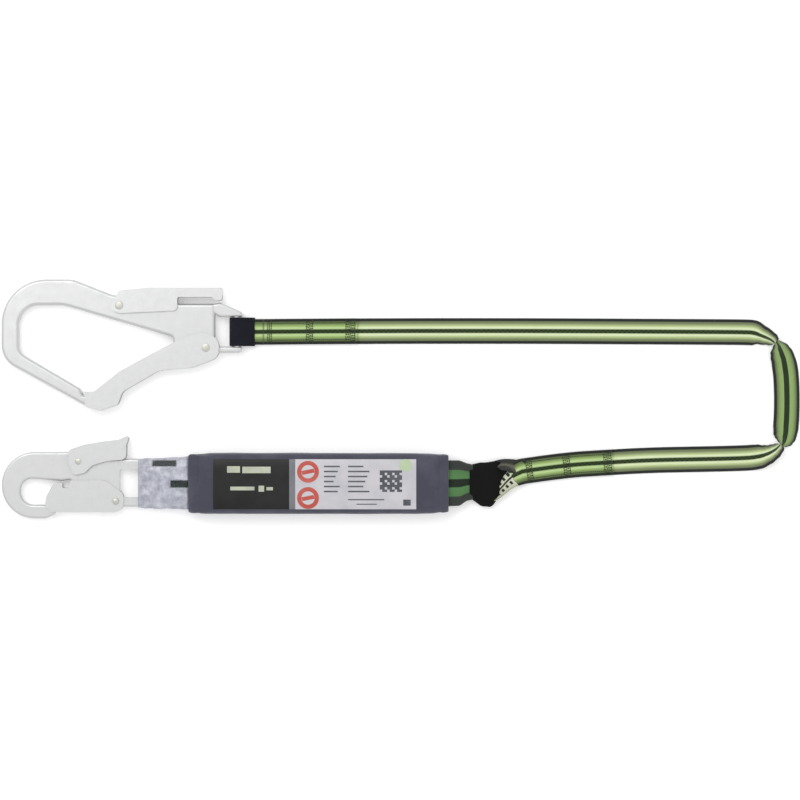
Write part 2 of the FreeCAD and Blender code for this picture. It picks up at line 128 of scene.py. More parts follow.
def settle(piece):
    # modifiers become plain mesh
    graph = bpy.context.evaluated_depsgraph_get()
    mesh = bpy.data.meshes.new_from_object(piece.evaluated_get(graph))
    old = piece.data
    piece.modifiers.clear()
    piece.data = mesh
    bpy.data.meshes.remove(old)
    return piece


def place(piece, finish, slotName, replaced=None, body="lanyard"):
    if finish:
        piece.data.materials.clear()
        piece.data.materials.append(finishes[finish])
    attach(piece, body)
    if replaced:
        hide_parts(replaced)
    return piece


def ease(value, low, high):
    part = min(max((value - low) / (high - low), 0.0), 1.0)
    return part * part * (3 - 2 * part)


def blendBetween(table, value):
    # smooth look-up in a short table of (position, value) pairs
    for (x0, y0), (x1, y1) in zip(table, table[1:]):
        if value <= x1:
            return y0 + (y1 - y0) * ease(value, x0, x1)
    return table[-1][1]


def bumps(spot, size):
    # soft unevenness from -1 to 1, size bumps to the metre along each axis
    return noise.noise(Vector([place * count for place, count in zip(spot, size)]))


# webbing: one builder for every flat band, with a rounded selvedge at both edges

webbing = {
    "columns": (0.0, 0.12, 0.25, 0.38, 0.5, 0.62, 0.74, 0.85, 0.92, 0.96, 0.985, 1.0),
    "selvedge": 0.085,
    "edgeLeft": 0.0009,         # keeps a sliver of thickness at the very edge
    "row": 0.0025,              # longest row of a band that is drawn from its side
}


def webbingBand(name, rowCount, width, thick, point, along):
    # point(row, across, height) is in metres, along(row) the length run so far
    steps = webbing["columns"]
    columns = [-s for s in reversed(steps[1:])] + list(steps)
    count = len(columns)
    points, faces, charts = [], [], []
    for row in range(rowCount):
        for side in (1, -1):
            for q in columns:
                edge = max((abs(q) - 1 + webbing["selvedge"]) / webbing["selvedge"], 0)
                high = side * thick / 2 * math.sqrt(max(1 - edge * edge, webbing["edgeLeft"]))
                points.append(point(row, q * width / 2, high))

    def quad(corners, flip, onEdge=False):
        # a corner is (row, column, side); edges and ends take the colours of the face
        face = [(row * 2 + side) * count + column for row, column, side in corners]
        chart = [((columns[column] + 1) / 2 + (0 if onEdge else side), along(row))
                 for row, column, side in corners]
        if flip:
            face.reverse()
            chart.reverse()
        faces.append(face)
        charts.append(chart)

    for row in range(rowCount - 1):
        for side in (0, 1):
            for c in range(count - 1):
                quad([(row, c, side), (row, c + 1, side),
                      (row + 1, c + 1, side), (row + 1, c, side)], side)
        for c, flip in ((0, True), (count - 1, False)):
            quad([(row, c, 0), (row + 1, c, 0), (row + 1, c, 1), (row, c, 1)], flip, True)
    for row, flip in ((0, True), (rowCount - 1, False)):
        for c in range(count - 1):
            quad([(row, c, 0), (row, c + 1, 0), (row, c + 1, 1), (row, c, 1)], flip, True)
    return outward(meshObject(name, points, faces, charts))


# shader maths

def operator(operation, turned=False):
    # turned is for the reflected form, as in 1 - mask
    def apply(self, other):
        return self.maths(operation, *((other, self) if turned else (self, other)))
    return apply


class Value:
    # a node's output, so that sums on it read as plain Python
    def __init__(self, finish, socket):
        self.finish = finish
        self.socket = socket

    def maths(self, operation, *values):
        return self.finish.make("ShaderNodeMath", {"operation": operation}, *values)

    __add__ = __radd__ = operator("ADD")
    __sub__, __rsub__ = operator("SUBTRACT"), operator("SUBTRACT", True)
    __mul__ = __rmul__ = operator("MULTIPLY")
    __truediv__, __rtruediv__ = operator("DIVIDE"), operator("DIVIDE", True)
    __mod__ = operator("FLOORED_MODULO")
    __lt__, __gt__ = operator("LESS_THAN"), operator("GREATER_THAN")

    def __abs__(self):
        return self.maths("ABSOLUTE", self)

    def sine(self):
        return self.maths("SINE", self)

    def floor(self):
        return self.maths("FLOOR", self)

    def clamp(self):
        return self.maths("MAXIMUM", self.maths("MINIMUM", self, 1.0), 0.0)


class Finish:
    def __init__(self, name, **fixed):
        self.material = bpy.data.materials.new(name)
        self.material.use_nodes = True
        self.tree = self.material.node_tree
        self.shader = self.tree.nodes["Principled BSDF"]
        for socket, value in fixed.items():
            self.shader.inputs[socket.replace("_", " ")].default_value = value

    def make(self, kind, settings, *values, out=0, **named):
        node = self.tree.nodes.new(kind)
        for key, value in settings.items():
            if key == "stops":
                ramp = node.color_ramp
                while len(ramp.elements) < len(value):
                    ramp.elements.new(0.5)
                for element, (position, colour) in zip(ramp.elements, value):
                    element.position = position
                    element.color = (*colour, 1)
            else:
                setattr(node, key, value)
        pairs = list(zip(node.inputs, values))
        pairs += [(node.inputs[key.replace("_", " ")], value) for key, value in named.items()]
        for socket, value in pairs:
            self.join(socket, value)
        return Value(self, node.outputs[out])

    def join(self, socket, value):
        if value is None:
            return
        if isinstance(value, Value):
            self.tree.links.new(value.socket, socket)
        elif isinstance(value, (tuple, list)) and len(value) == 3 and socket.type == "RGBA":
            socket.default_value = (*value, 1)
        else:
            socket.default_value = value

    def mix(self, low, high, mask):
        node = self.tree.nodes.new("ShaderNodeMix")
        node.data_type = "RGBA"
        for index, value in ((0, mask), (6, low), (7, high)):
            self.join(node.inputs[index], value)
        return Value(self, node.outputs[2])

    def place(self):
        return self.make("ShaderNodeTexCoord", {}, out=3)

    def axes(self, where):
        split = self.make("ShaderNodeSeparateXYZ", {}, where)
        return [Value(self, output) for output in split.socket.node.outputs]

    def weaveMap(self):
        # across 0..1 on the face and 1..2 on the back, along in metres
        return self.axes(self.make("ShaderNodeUVMap", {"uv_map": "weave"}))[:2]

    def cloud(self, size, detail=3.0, where=None, rough=0.55):
        # noise whose blobs are about size metres across
        return self.make("ShaderNodeTexNoise", {"noise_dimensions": "3D"}, Scale=1 / size,
                         Vector=where or self.place(), Detail=detail, Roughness=rough)

    def put(self, socket, value):
        self.join(self.shader.inputs[socket], value)

    def relief(self, height, distance):
        self.put("Normal", self.make("ShaderNodeBump", {}, Height=height, Distance=distance))


def tone(red, green, blue):
    # screen colour 0..255 to the linear values that shaders take
    return tuple((c / 255 / 12.92) if c <= 10 else ((c / 255 + 0.055) / 1.055) ** 2.4
                 for c in (red, green, blue))


def floorFinish():
    floor = Finish("floorPaper", Roughness=0.9, Specular_IOR_Level=0.1,
                   Emission_Strength=0.22)
    grain = floor.cloud(0.05)
    floor.put("Base Color", floor.mix((0.965, 0.965, 0.965), (0.98, 0.98, 0.98), grain))
    return floor.material


def weaveHeight(across, along, ribs, pitch):
    # warp ribs along the band, each bound by weft rows half a step apart from its neighbour
    lane = across * ribs
    shift = (lane.floor() % 2.0) * 0.5
    rib = abs((lane * math.pi).sine())
    knot = abs(((along / pitch + shift) * math.pi).sine())
    return rib * (0.55 + 0.45 * knot)


def stripedWebbing(name, face, back, dots, ribs, pitch):
    # face and back are colour stops across the band, dots a dotted tracer beside the middle
    cloth = Finish(name, Roughness=0.72, Sheen_Weight=0.25, Sheen_Roughness=0.5,
                   Specular_IOR_Level=0.25)
    across, along = cloth.weaveMap()
    onBack = across > 1.0
    acrossFace = across - onBack
    front = cloth.make("ShaderNodeValToRGB", {"stops": face}, acrossFace)
    rear = cloth.make("ShaderNodeValToRGB", {"stops": back}, acrossFace)
    if dots:
        reach = abs(abs(acrossFace - 0.5) - dots["offset"])
        lane = reach < dots["halfWidth"]
        step = (along / dots["pitch"] + (acrossFace > 0.5) * 0.5) % 1.0
        front = cloth.mix(front, dots["colour"], lane * (step < dots["share"]))
    colour = cloth.mix(front, rear, onBack)
    height = weaveHeight(acrossFace, along, ribs, pitch)
    soil = cloth.cloud(0.03, 4.0)
    # painted shade: the weave's low spots are darkened towards dark olive, and the soil noise
    # adds a little real dirt
    shade = (1 - height) * 0.13 + soil * 0.05
    cloth.put("Base Color", cloth.mix(colour, tone(40, 44, 36), shade))
    cloth.put("Roughness", 0.62 + soil * 0.2)
    cloth.relief(height, 0.0004)
    return cloth.material


def wovenCloth(name, colour, pale, pitch, rough=0.75, sheen=0.3, wear=0.03):
    # plain weave on the piece's own position, for cloth that isn't a band
    cloth = Finish(name, Sheen_Weight=sheen, Sheen_Roughness=0.45, Specular_IOR_Level=0.2)
    x, y, z = cloth.axes(cloth.place())
    warp = (x * (math.pi / pitch)).sine()
    weft = ((y + z * 0.8) * (math.pi / pitch)).sine()
    height = warp * weft * 0.5 + 0.5
    patch = cloth.cloud(wear, 5.0)
    rub = ((patch - 0.45) * 3.0).clamp()
    # rub paints real wear; the raised weave is also made paler, a painted highlight on the
    # threads' tops
    cloth.put("Base Color", cloth.mix(colour, pale, rub * 0.5 + height * 0.16))
    cloth.put("Roughness", rough + patch * 0.15 - 0.07)
    cloth.relief(height * 0.7 + patch * 0.6, 0.0005)
    return cloth.material


def platedSteel(name, colour, shade, rough, metallic=0.85, spangle=0.012):
    # bright plating with a faint mottle and fine handling scratches
    steel = Finish(name, Specular_IOR_Level=0.5)
    mottle = steel.cloud(spangle, 4.0)
    fine = steel.cloud(0.0014, 2.0)
    long = steel.make("ShaderNodeMapping", {}, steel.place(), Scale=(900, 60, 300))
    scratch = steel.cloud(1.0, 2.0, where=long)
    nick = ((scratch - 0.62) * 6.0).clamp()
    steel.put("Base Color", steel.mix(steel.mix(colour, shade, mottle), shade, nick * 0.5))
    steel.shader.inputs["Metallic"].default_value = metallic
    steel.put("Roughness", rough + mottle * 0.16 + nick * 0.12 - 0.08)
    steel.relief(fine * 0.4 + mottle * 0.5 - nick * 0.5, 0.00012)
    return steel.material


def printedLabel(name, colour, shade, rough):
    # coated label stock, slightly handled, with the weave below just showing through
    label = Finish(name, Specular_IOR_Level=0.3, Coat_Roughness=0.3)
    x, y = label.axes(label.place())[:2]
    weavePitch = 0.0016
    wave = (x * (math.pi / weavePitch)).sine() * (y * (math.pi / weavePitch)).sine()
    smudge = label.cloud(0.02, 5.0)
    label.put("Base Color", label.mix(colour, shade, ((smudge - 0.4) * 2.0).clamp()))
    label.put("Roughness", rough + smudge * 0.2 - 0.1)
    label.put("Coat Weight", 0.04 + smudge * 0.12)
    label.relief(wave * 0.12 + smudge, 0.0003)
    return label.material


def clearFilm(name, colour, alpha, windows=()):
    # milky, creased film that is clearer in its windows
    film = Finish(name, Roughness=0.16, Specular_IOR_Level=0.6, Coat_Weight=0.4,
                  Coat_Roughness=0.08)
    crease = film.cloud(0.006, 4.0)
    haze = film.cloud(0.02, 3.0)
    film.put("Base Color", film.mix(colour, (0.78, 0.79, 0.86), crease))
    milk = alpha + (haze - 0.5) * 0.5 + (crease - 0.5) * 0.35
    x, y = film.axes(film.place())[:2]
    softX, softY, clearness = 0.002, 0.0015, 0.96
    for x0, x1, y0, y1 in windows:
        # thin places where the cloth inside shows
        fadeX = ((x - x0) / softX).clamp() * ((x1 - x) / softX).clamp()
        fadeY = ((y - y0) / softY).clamp() * ((y1 - y) / softY).clamp()
        milk = milk * (1 - fadeX * fadeY * clearness)
    film.put("Alpha", milk.clamp())
    film.put("Roughness", 0.12 + haze * 0.2)
    film.relief(crease * 0.8 + haze, 0.0012)
    film.material.use_transparent_shadow = True
    return film.material


def sewingThread(name, colour, pale):
    thread = Finish(name, Roughness=0.6, Sheen_Weight=0.2, Specular_IOR_Level=0.3)
    fluff = thread.cloud(0.0016, 3.0)
    plyTurns = 9000.0
    ply = (thread.axes(thread.place())[0] * plyTurns).sine()
    # fluff is real colour; the ply's raised ridges are made paler, a painted highlight
    thread.put("Base Color", thread.mix(colour, pale, fluff * 0.6 + ply * 0.12 + 0.1))
    thread.put("Roughness", 0.5 + fluff * 0.3)
    thread.relief(ply * 0.5 + fluff, 0.00008)
    return thread.material


film = {
    # x, half width, low z, high z
    "sections": [(-0.1212, 0.0262, 0.0012, 0.0138), (-0.1165, 0.0268, 0.0006, 0.0154),
                 (-0.1100, 0.0270, 0.0006, 0.0162), (-0.1020, 0.0272, 0.0008, 0.0168),
                 (-0.0940, 0.0274, 0.0014, 0.0182), (-0.0860, 0.0278, 0.0022, 0.0198),
                 (-0.0760, 0.0284, 0.0030, 0.0216), (-0.0663, 0.0288, 0.0034, 0.0226)],
    "blend": (-0.098, -0.116),
    "wall": 0.0003,
    "folds": ((120, 90, 60), 0.0008),   # bumps to the metre, height
    "longFolds": ((24, 6, 6), 0.0012),
    # where the webbing shows through: low x, high x, low y, high y
    "windows": [(-0.107, -0.078, -0.0740, -0.0655), (-0.087, -0.064, -0.0970, -0.0870)],
}


def mirrored(*half):
    # colour stops from one selvedge to the middle, and the same back to the other
    back = [(1 - place, colour) for place, colour in reversed(half) if place < 0.5]
    return [*half, *back]


def shaded(stops, share):
    return [(place, tuple(c * s for c, s in zip(colour, share))) for place, colour in stops]


dark = tone(30, 34, 32)
lime = tone(238, 252, 204)
middle = tone(46, 68, 8)
moss = tone(26, 48, 8)
cream = tone(232, 236, 212)
strapFace = mirrored(
    (0.0, dark), (0.105, dark), (0.125, tone(116, 126, 92)), (0.2, tone(138, 150, 108)),
    (0.24, tone(170, 188, 132)), (0.3, tone(206, 224, 160)), (0.34, lime), (0.4, lime),
    (0.435, middle))
strapBack = mirrored(
    (0.0, dark), (0.1, dark), (0.13, tone(104, 122, 76)), (0.24, tone(150, 178, 108)),
    (0.38, tone(160, 190, 118)), (0.41, moss))
# darkened olive-grey stops: painted shade for the link loop's upper leg, which lies in shadow
strapInPaintedShade = mirrored(
    (0.0, dark), (0.24, dark), (0.3, tone(70, 70, 56)), (0.5, tone(104, 102, 82)))
strapDots = {"offset": 0.036, "halfWidth": 0.026, "pitch": 0.0052, "share": 0.5,
             "colour": tone(18, 34, 8)}
turnedDots = {"offset": 0.2, "halfWidth": 0.1, "pitch": 0.0062, "share": 0.46,
              "colour": tone(30, 36, 24)}
strapWeave = (28.0, 0.0016)     # ribs across, length of one weave step

finishes = {
    "strap": stripedWebbing("strapWebbing", strapFace, strapBack, strapDots, *strapWeave),
    # the doubled, sewn ends look darker and greener
    "strapSewn": stripedWebbing("strapSewn", shaded(strapFace, (0.68, 0.80, 0.57)), strapBack,
                                strapDots, *strapWeave),
    "strapInPaintedShade": stripedWebbing("strapInPaintedShade", strapInPaintedShade, strapInPaintedShade, None, *strapWeave),
    "strapTurned": stripedWebbing(
        "strapTurned",
        [(0.0, tone(168, 178, 140)), (0.12, tone(226, 230, 204)), (0.44, cream), (0.47, dark),
         (0.53, dark), (0.56, cream), (0.88, tone(222, 228, 196)), (1.0, tone(176, 190, 140))],
        mirrored((0.0, dark), (0.1, dark), (0.13, tone(104, 122, 76)), (0.5, moss)),
        turnedDots, *strapWeave),
    "loop": stripedWebbing(
        "loopWebbing",
        mirrored((0.0, tone(52, 58, 54)), (0.19, tone(58, 64, 60)), (0.21, tone(110, 172, 100)),
                 (0.4, tone(118, 182, 106)), (0.42, tone(8, 34, 12))),
        mirrored((0.0, tone(48, 54, 50)), (0.2, tone(52, 58, 54)), (0.22, tone(84, 132, 76)),
                 (0.4, tone(90, 139, 83)), (0.42, tone(8, 30, 12))),
        None, 46.0, 0.0018),
    "tear": stripedWebbing(
        "tearWebbing",
        mirrored((0.0, tone(196, 192, 160)), (0.5, tone(220, 214, 182))),
        mirrored((0.0, tone(180, 176, 146)), (0.5, tone(204, 198, 168))),
        None, 40.0, 0.0018),
    "cover": wovenCloth("coverFabric", tone(66, 67, 80), tone(96, 98, 112), 0.0011),
    "boot": wovenCloth("bootFabric", tone(3, 3, 4), tone(10, 10, 12), 0.0014, sheen=0.0),
    "sleeve": wovenCloth("sleeveFabric", tone(12, 13, 24), tone(34, 37, 50), 0.0012, sheen=0.06),
    "hook": platedSteel("hookSteel", (0.66, 0.662, 0.662), (0.57, 0.575, 0.575), 0.38,
                        metallic=0.6),
    "sheet": platedSteel("sheetSteel", (0.68, 0.683, 0.683), (0.57, 0.575, 0.575), 0.36,
                         metallic=0.6, spangle=0.008),
    "rivet": platedSteel("rivetSteel", (0.60, 0.60, 0.55), (0.50, 0.50, 0.45), 0.42,
                         spangle=0.003),
    "spring": platedSteel("springSteel", (0.42, 0.43, 0.44), (0.26, 0.27, 0.28), 0.3,
                          spangle=0.002),
    "film": clearFilm("clearFilm", tone(128, 130, 152), 0.78, film["windows"]),
    "innerFilm": clearFilm("innerFilm", tone(214, 216, 222), 0.45),
}
for name, colour, worn, rough in (
        ("labelBlack", (12, 14, 12), (26, 29, 26), 0.45),
        ("labelGrey", (112, 114, 120), (134, 136, 142), 0.42),
        ("labelWhite", (198, 196, 200), (176, 176, 184), 0.42),
        ("redInk", (184, 78, 68), (198, 112, 100), 0.4),
        ("paleInk", (186, 190, 172), (150, 156, 138), 0.4),
        ("greyInk", (74, 76, 82), (104, 106, 114), 0.4),
        ("greenInk", (172, 194, 152), (188, 200, 176), 0.4)):
    finishes[name] = printedLabel(name, tone(*colour), tone(*worn), rough)
for name, colour, fluff in (("darkThread", (30, 40, 22), (62, 76, 48)),
                            ("greyThread", (50, 52, 64), (92, 94, 106)),
                            ("whiteThread", (206, 202, 190), (236, 234, 226))):
    finishes[name] = sewingThread(name, tone(*colour), tone(*fluff))
print("finishes made:", len(finishes))
makeStudio()


# stitches and rivet heads: two small node trees

def newTree(name, inputs):
    tree = bpy.data.node_groups.new(name, "GeometryNodeTree")
    tree.interface.new_socket("Geometry", in_out="INPUT", socket_type="NodeSocketGeometry")
    for label, value in inputs.items():
        kind = "NodeSocketMaterial" if value is None else "NodeSocketFloat"
        socket = tree.interface.new_socket(label, in_out="INPUT", socket_type=kind)
        if value is not None:
            socket.default_value = value
    tree.interface.new_socket("Geometry", in_out="OUTPUT", socket_type="NodeSocketGeometry")
    return tree, tree.nodes.new("NodeGroupInput").outputs


def treeNode(tree, kind, settings={}, **links):
    # makes a node and gives back its first output
    node = tree.nodes.new(kind)
    for key, value in settings.items():
        setattr(node, key, value)
    for key, value in links.items():
        socket = node.inputs[key.replace("_", " ")]
        if isinstance(value, bpy.types.NodeSocket):
            tree.links.new(value, socket)
        else:
            socket.default_value = value
    return node.outputs[0]


def copiesTree(tree, points, ball, size, finish, **turn):
    # copies of a ball at the points become one smooth mesh in one finish
    scale = treeNode(tree, "ShaderNodeCombineXYZ", **dict(zip("XYZ", size)))
    ball = treeNode(tree, "GeometryNodeMeshUVSphere", **ball)
    laid = treeNode(tree, "GeometryNodeInstanceOnPoints", Points=points, Instance=ball,
                    Scale=scale, **turn)
    real = treeNode(tree, "GeometryNodeRealizeInstances", Geometry=laid)
    smooth = treeNode(tree, "GeometryNodeSetShadeSmooth", Geometry=real)
    coloured = treeNode(tree, "GeometryNodeSetMaterial", Geometry=smooth, Material=finish)
    tree.links.new(coloured, tree.nodes.new("NodeGroupOutput").inputs[0])
    return tree


def makeStitchTree():
    tree, given = newTree("stitchRow", {"Pitch": 0.002, "Length": 0.0018, "Thickness": 0.0006,
                                        "Thread": None})
    seam = treeNode(tree, "GeometryNodeMeshToCurve", Mesh=given["Geometry"])
    spaced = treeNode(tree, "GeometryNodeResampleCurve", {"mode": "LENGTH"},
                      Curve=seam, Length=given["Pitch"])
    turn = treeNode(tree, "FunctionNodeAlignRotationToVector", {"axis": "X"},
                    Vector=treeNode(tree, "GeometryNodeInputTangent"))
    size = (given["Length"], given["Thickness"], given["Thickness"])
    return copiesTree(tree, spaced, {"Segments": 8, "Rings": 5, "Radius": 0.5}, size,
                      given["Thread"], Rotation=turn)


def makeHeadTree():
    tree, given = newTree("rivetHead", {"Radius": 0.004, "Crown": 0.001, "Metal": None})
    points = treeNode(tree, "GeometryNodeMeshToPoints", Mesh=given["Geometry"])
    size = (given["Radius"], given["Radius"], given["Crown"])
    return copiesTree(tree, points, {"Segments": 28, "Rings": 12, "Radius": 1.0}, size,
                      given["Metal"])


def grown(name, tree, points, edges, **inputs):
    # runs a node tree on a small wire mesh and keeps the result as plain mesh
    mesh = bpy.data.meshes.new(name)
    mesh.from_pydata([tuple(p) for p in points], edges, [])
    piece = shown(bpy.data.objects.new(name, mesh))
    modifier = piece.modifiers.new("grown", "NODES")
    modifier.node_group = tree
    for socket in tree.interface.items_tree:
        if socket.item_type == "SOCKET" and socket.in_out == "INPUT" and socket.name in inputs:
            modifier[socket.identifier] = inputs[socket.name]
    return settle(piece)


def stitched(name, lines, thread, replaced=None, pitch=0.0021, length=0.0020, thickness=0.0009):
    points, edges = [], []
    for line in lines:
        first = len(points)
        points += line
        edges += [(first + i, first + i + 1) for i in range(len(line) - 1)]
    sewn = grown(name, stitchTree, points, edges, Pitch=pitch, Length=length,
                 Thickness=thickness, Thread=finishes[thread])
    return place(sewn, None, "thread", replaced)


stitchTree = makeStitchTree()
headTree = makeHeadTree()


# strap: the free webbing from the hook end, turned over at its two corners, to the link end

strapOut = [(0.006, 0.0730), (0.110, 0.0740), (0.290, 0.0742), (0.435, 0.0734)]
strapHome = [(0.490, -0.0656), (0.436, -0.0666), (0.388, -0.0692), (0.340, -0.0722),
             (0.293, -0.0793)]
strap = {
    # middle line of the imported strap, whose corners are plain bends
    "route": [
        *strapOut, (0.508, 0.0732), (0.545, 0.0735), (0.576, 0.0640), (0.5825, 0.018),
        (0.5834, -0.011), (0.5816, -0.038), (0.5649, -0.0579), (0.5355, -0.0642), *strapHome,
    ],
    "width": 0.028,
    "thick": 0.0022,
    # middle line of the webbing that is drawn, whose corners are half twists
    "laid": [
        *strapOut, (0.508, 0.0730), (0.5350, 0.0728), (0.5490, 0.0724), (0.5580, 0.0690),
        (0.5670, 0.0655), (0.5728, 0.0604), (0.5768, 0.0518), (0.5805, 0.0430),
        (0.5835, 0.0290), (0.5845, 0.0080), (0.5845, -0.0120), (0.5836, -0.0300),
        (0.5818, -0.0410), (0.5790, -0.0488), (0.5735, -0.0548), (0.5650, -0.0600),
        (0.5540, -0.0632), (0.5355, -0.0646), *strapHome,
    ],
    "twistAt": [(0.5718, 0.0612, 0.0), (0.5785, -0.0503, 0.0)],
    # length from the middle of a twist, and the turn there in degrees
    "firstTwist": [(-0.030, 0), (-0.016, 45), (-0.005, 62), (-0.001, 72), (0.001, 112),
                   (0.009, 143), (0.016, 160), (0.032, 180)],
    "secondTwist": [(-0.024, 0), (-0.010, 23), (-0.005, 41), (-0.001, 64), (0.001, 104),
                    (0.004, 112), (0.011, 125), (0.019, 140), (0.028, 164), (0.038, 180)],
    "standing": 0.42,           # share of its width that turned webbing stands up, pressed down
    "layer": 0.0023,            # from one layer's middle to the next
    "row": 0.003,
    "fineRow": 0.0008,          # row length within fineReach of a twist
    "fineReach": 0.045,
}


def routeCurve(points, height):
    curve = bpy.data.curves.new("strapRoute", "CURVE")
    curve.dimensions = "3D"
    curve.resolution_u = 24
    spline = curve.splines.new("NURBS")
    spline.points.add(len(points) - 1)
    for target, (x, y) in zip(spline.points, points):
        target.co = (x, y, height, 1)
    spline.order_u = 3
    spline.use_endpoint_u = True
    holder = shown(bpy.data.objects.new("strapRoute", curve))
    graph = bpy.context.evaluated_depsgraph_get()
    mesh = bpy.data.meshes.new_from_object(holder.evaluated_get(graph))
    line = [v.co.copy() for v in mesh.vertices]
    bpy.data.objects.remove(holder)
    bpy.data.curves.remove(curve)
    bpy.data.meshes.remove(mesh)
    return line


class Line:
    # a polyline read by its length
    def __init__(self, points):
        self.points = points
        self.runs = [0.0]
        for a, b in zip(points, points[1:]):
            self.runs.append(self.runs[-1] + (b - a).length)
        self.length = self.runs[-1]

    def at(self, run):
        index = 0
        while index < len(self.runs) - 2 and self.runs[index + 1] < run:
            index += 1
        a, b = self.points[index], self.points[index + 1]
        part = (run - self.runs[index]) / max(self.runs[index + 1] - self.runs[index], 1e-9)
        return a + (b - a) * part

    def heading(self, run):
        reach = 0.004
        low, high = max(run - reach, 0), min(run + reach, self.length)
        return (self.at(high) - self.at(low)).normalized()


path = Line(routeCurve(strap["route"], strap["thick"] / 2))


def sideways(direction):
    return Vector((-direction.y, direction.x, 0))


class TwistedRun(Line):
    # the webbing's own middle line, turned over by a half twist at each end of its middle run
    def __init__(self):
        super().__init__(routeCurve(strap["laid"], 0.0))
        self.twists = [min(self.runs, key=lambda run: (self.at(run) - Vector(spot)).length)
                       for spot in strap["twistAt"]]

    def roll(self, run):
        first, second = self.twists
        over = blendBetween(strap["firstTwist"], run - first)
        back = blendBetween(strap["secondTwist"], run - second)
        return math.radians(over - back)

    def point(self, run, across, height):
        centre, heading = self.at(run), self.heading(run)
        turn = self.roll(run)
        side = sideways(heading).normalized()
        tall = math.sin(turn) * strap["standing"]
        lean = side * math.cos(turn) + up * tall
        face = up * math.cos(turn) - side * math.sin(turn)
        rest = strap["width"] / 2 * abs(tall) + strap["thick"] / 2
        return centre + lean * across + face * height + up * rest


def makeStrap():
    laid = TwistedRun()
    rows = []
    run = 0.0
    while run < laid.length:
        rows.append(run)
        near = min(abs(run - twist) for twist in laid.twists) < strap["fineReach"]
        run += strap["fineRow"] if near else strap["row"]
    rows.append(laid.length)
    piece = webbingBand("strapWebbing", len(rows), strap["width"], strap["thick"],
                        lambda row, across, height: laid.point(rows[row], across, height),
                        lambda row: rows[row])
    place(piece, "strap", "strap_webbing", "strap")
    print("strap: path %.3f m, laid band %.3f m" % (path.length, laid.length))
    return piece


strapPiece = makeStrap()


# loops round the two eye bars

hookEnd = {
    "bar": (-0.0145, 0.008),
    "barRadius": 0.0045,
    "gap": 0.0003,
    "tailEnd": 0.117,
    "tailFrom": 0.014,
    "lead": (0.0145, 0.010),    # x of the last flat point and of the first lifted one
    "leadLift": 0.0006,
    "upper": (0.006, 0.0048),   # x and z where the band leaves for the bar and comes back
    "lower": (0.0056, 0.0020),
    "sleeveWidth": 0.031,
    "sleeveThick": 0.0008,
    "sleeveX": 0.005,
    "slack": (0.00035, 520, 300),
    "slackFrom": (-0.012, 0.004),
    "bars": ((0.019, 0.023), (0.061, 0.068), (0.104, 0.114)),
    "seams": ((0.024, 0.060), (0.069, 0.103)),
    "reach": (0.0115, 0.0118, 0.0092),  # half widths: zigzag, a bar's side lines, long seams
}
snapEnd = {
    "bar": (-0.114, 0.0072), "barRadius": 0.0038, "gap": 0.0003, "thick": 0.0022,
    "wide": 0.050, "narrow": 0.028, "narrowAt": -0.1082, "wideAt": -0.1046,
    "upper": (-0.053, 0.0182), "lower": (-0.053, 0.0146),
    "rippleHigh": 0.0011, "ripplePitch": 0.0165,
}
touch = 0.0001                  # gap left between layers that lie on each other


def aroundBar(start, end, centre, radius, steps=26):
    # side view of a band from start, over the bar and back under it to end
    angles = []
    for (x, z), sign in ((start, 1), (end, -1)):
        reach = math.hypot(x - centre[0], z - centre[1])
        base = math.atan2(z - centre[1], x - centre[0])
        angles.append(base + sign * math.acos(radius / reach))
    first, last = angles[0], angles[1] + 2 * math.pi
    arc = [first + (last - first) * i / steps for i in range(steps + 1)]
    ring = [(centre[0] + radius * math.cos(a), centre[1] + radius * math.sin(a)) for a in arc]
    return [start] + ring + [end]


def refined(points, step):
    # points no further apart than step, each kept corner included
    out = [points[0]]
    for a, b in zip(points, points[1:]):
        count = max(1, math.ceil((b - a).length / step))
        out += [a + (b - a) * (i / count) for i in range(1, count + 1)]
    return out


def headingsAlong(points, reach):
    # direction at each point, taken between the points reach places either side
    last = len(points) - 1
    return [(points[min(i + reach, last)] - points[max(i - reach, 0)]).normalized()
            for i in range(last + 1)]


def sideBand(name, sideLine, width, thick, middleY, widths=None, waves=None):
    # a band seen from the side as sideLine, straight across along Y
    line = refined([Vector((x, 0, z)) for x, z in sideLine], webbing["row"])
    track = Line(line)
    headings = headingsAlong(line, 1)

    def point(row, across, height):
        spot, heading = line[row], headings[row]
        scale = widths(spot.x) / width if widths else 1.0
        normal = Vector((heading.z, 0, -heading.x))
        lift = waves(spot.x, across) if waves else 0.0
        y = middleY(spot.x) + across * scale
        return Vector((spot.x, y, spot.z)) + normal * (height + lift)

    return webbingBand(name, len(line), width, thick, point, lambda row: track.runs[row])


def strapY(x):
    # middle of the strap's first run at x
    for a, b in zip(path.points, path.points[1:]):
        if a.x <= x <= b.x:
            return a.y + (b.y - a.y) * (x - a.x) / max(b.x - a.x, 1e-9)
    return path.points[0].y


def sewnLines(spot, sewing, steps):
    # zigzag bars with a line at each side, and long seams between; spot(x, across, barX)
    zigzag, edge, seam = sewing["reach"]
    turns = 17
    lines = []
    for bar in sewing["bars"]:
        lines.append([spot(bar[i % 2], zigzag * (2 * i / turns - 1), bar[0])
                      for i in range(turns + 1)])
        for x in bar:
            lines.append([spot(x, y, x) for y in (-edge, edge)])
    for low, high in sewing["seams"]:
        for y in (-seam, seam):
            xs = [low + (high - low) * i / steps for i in range(steps + 1)]
            lines.append([spot(x, y, x) for x in xs])
    return lines


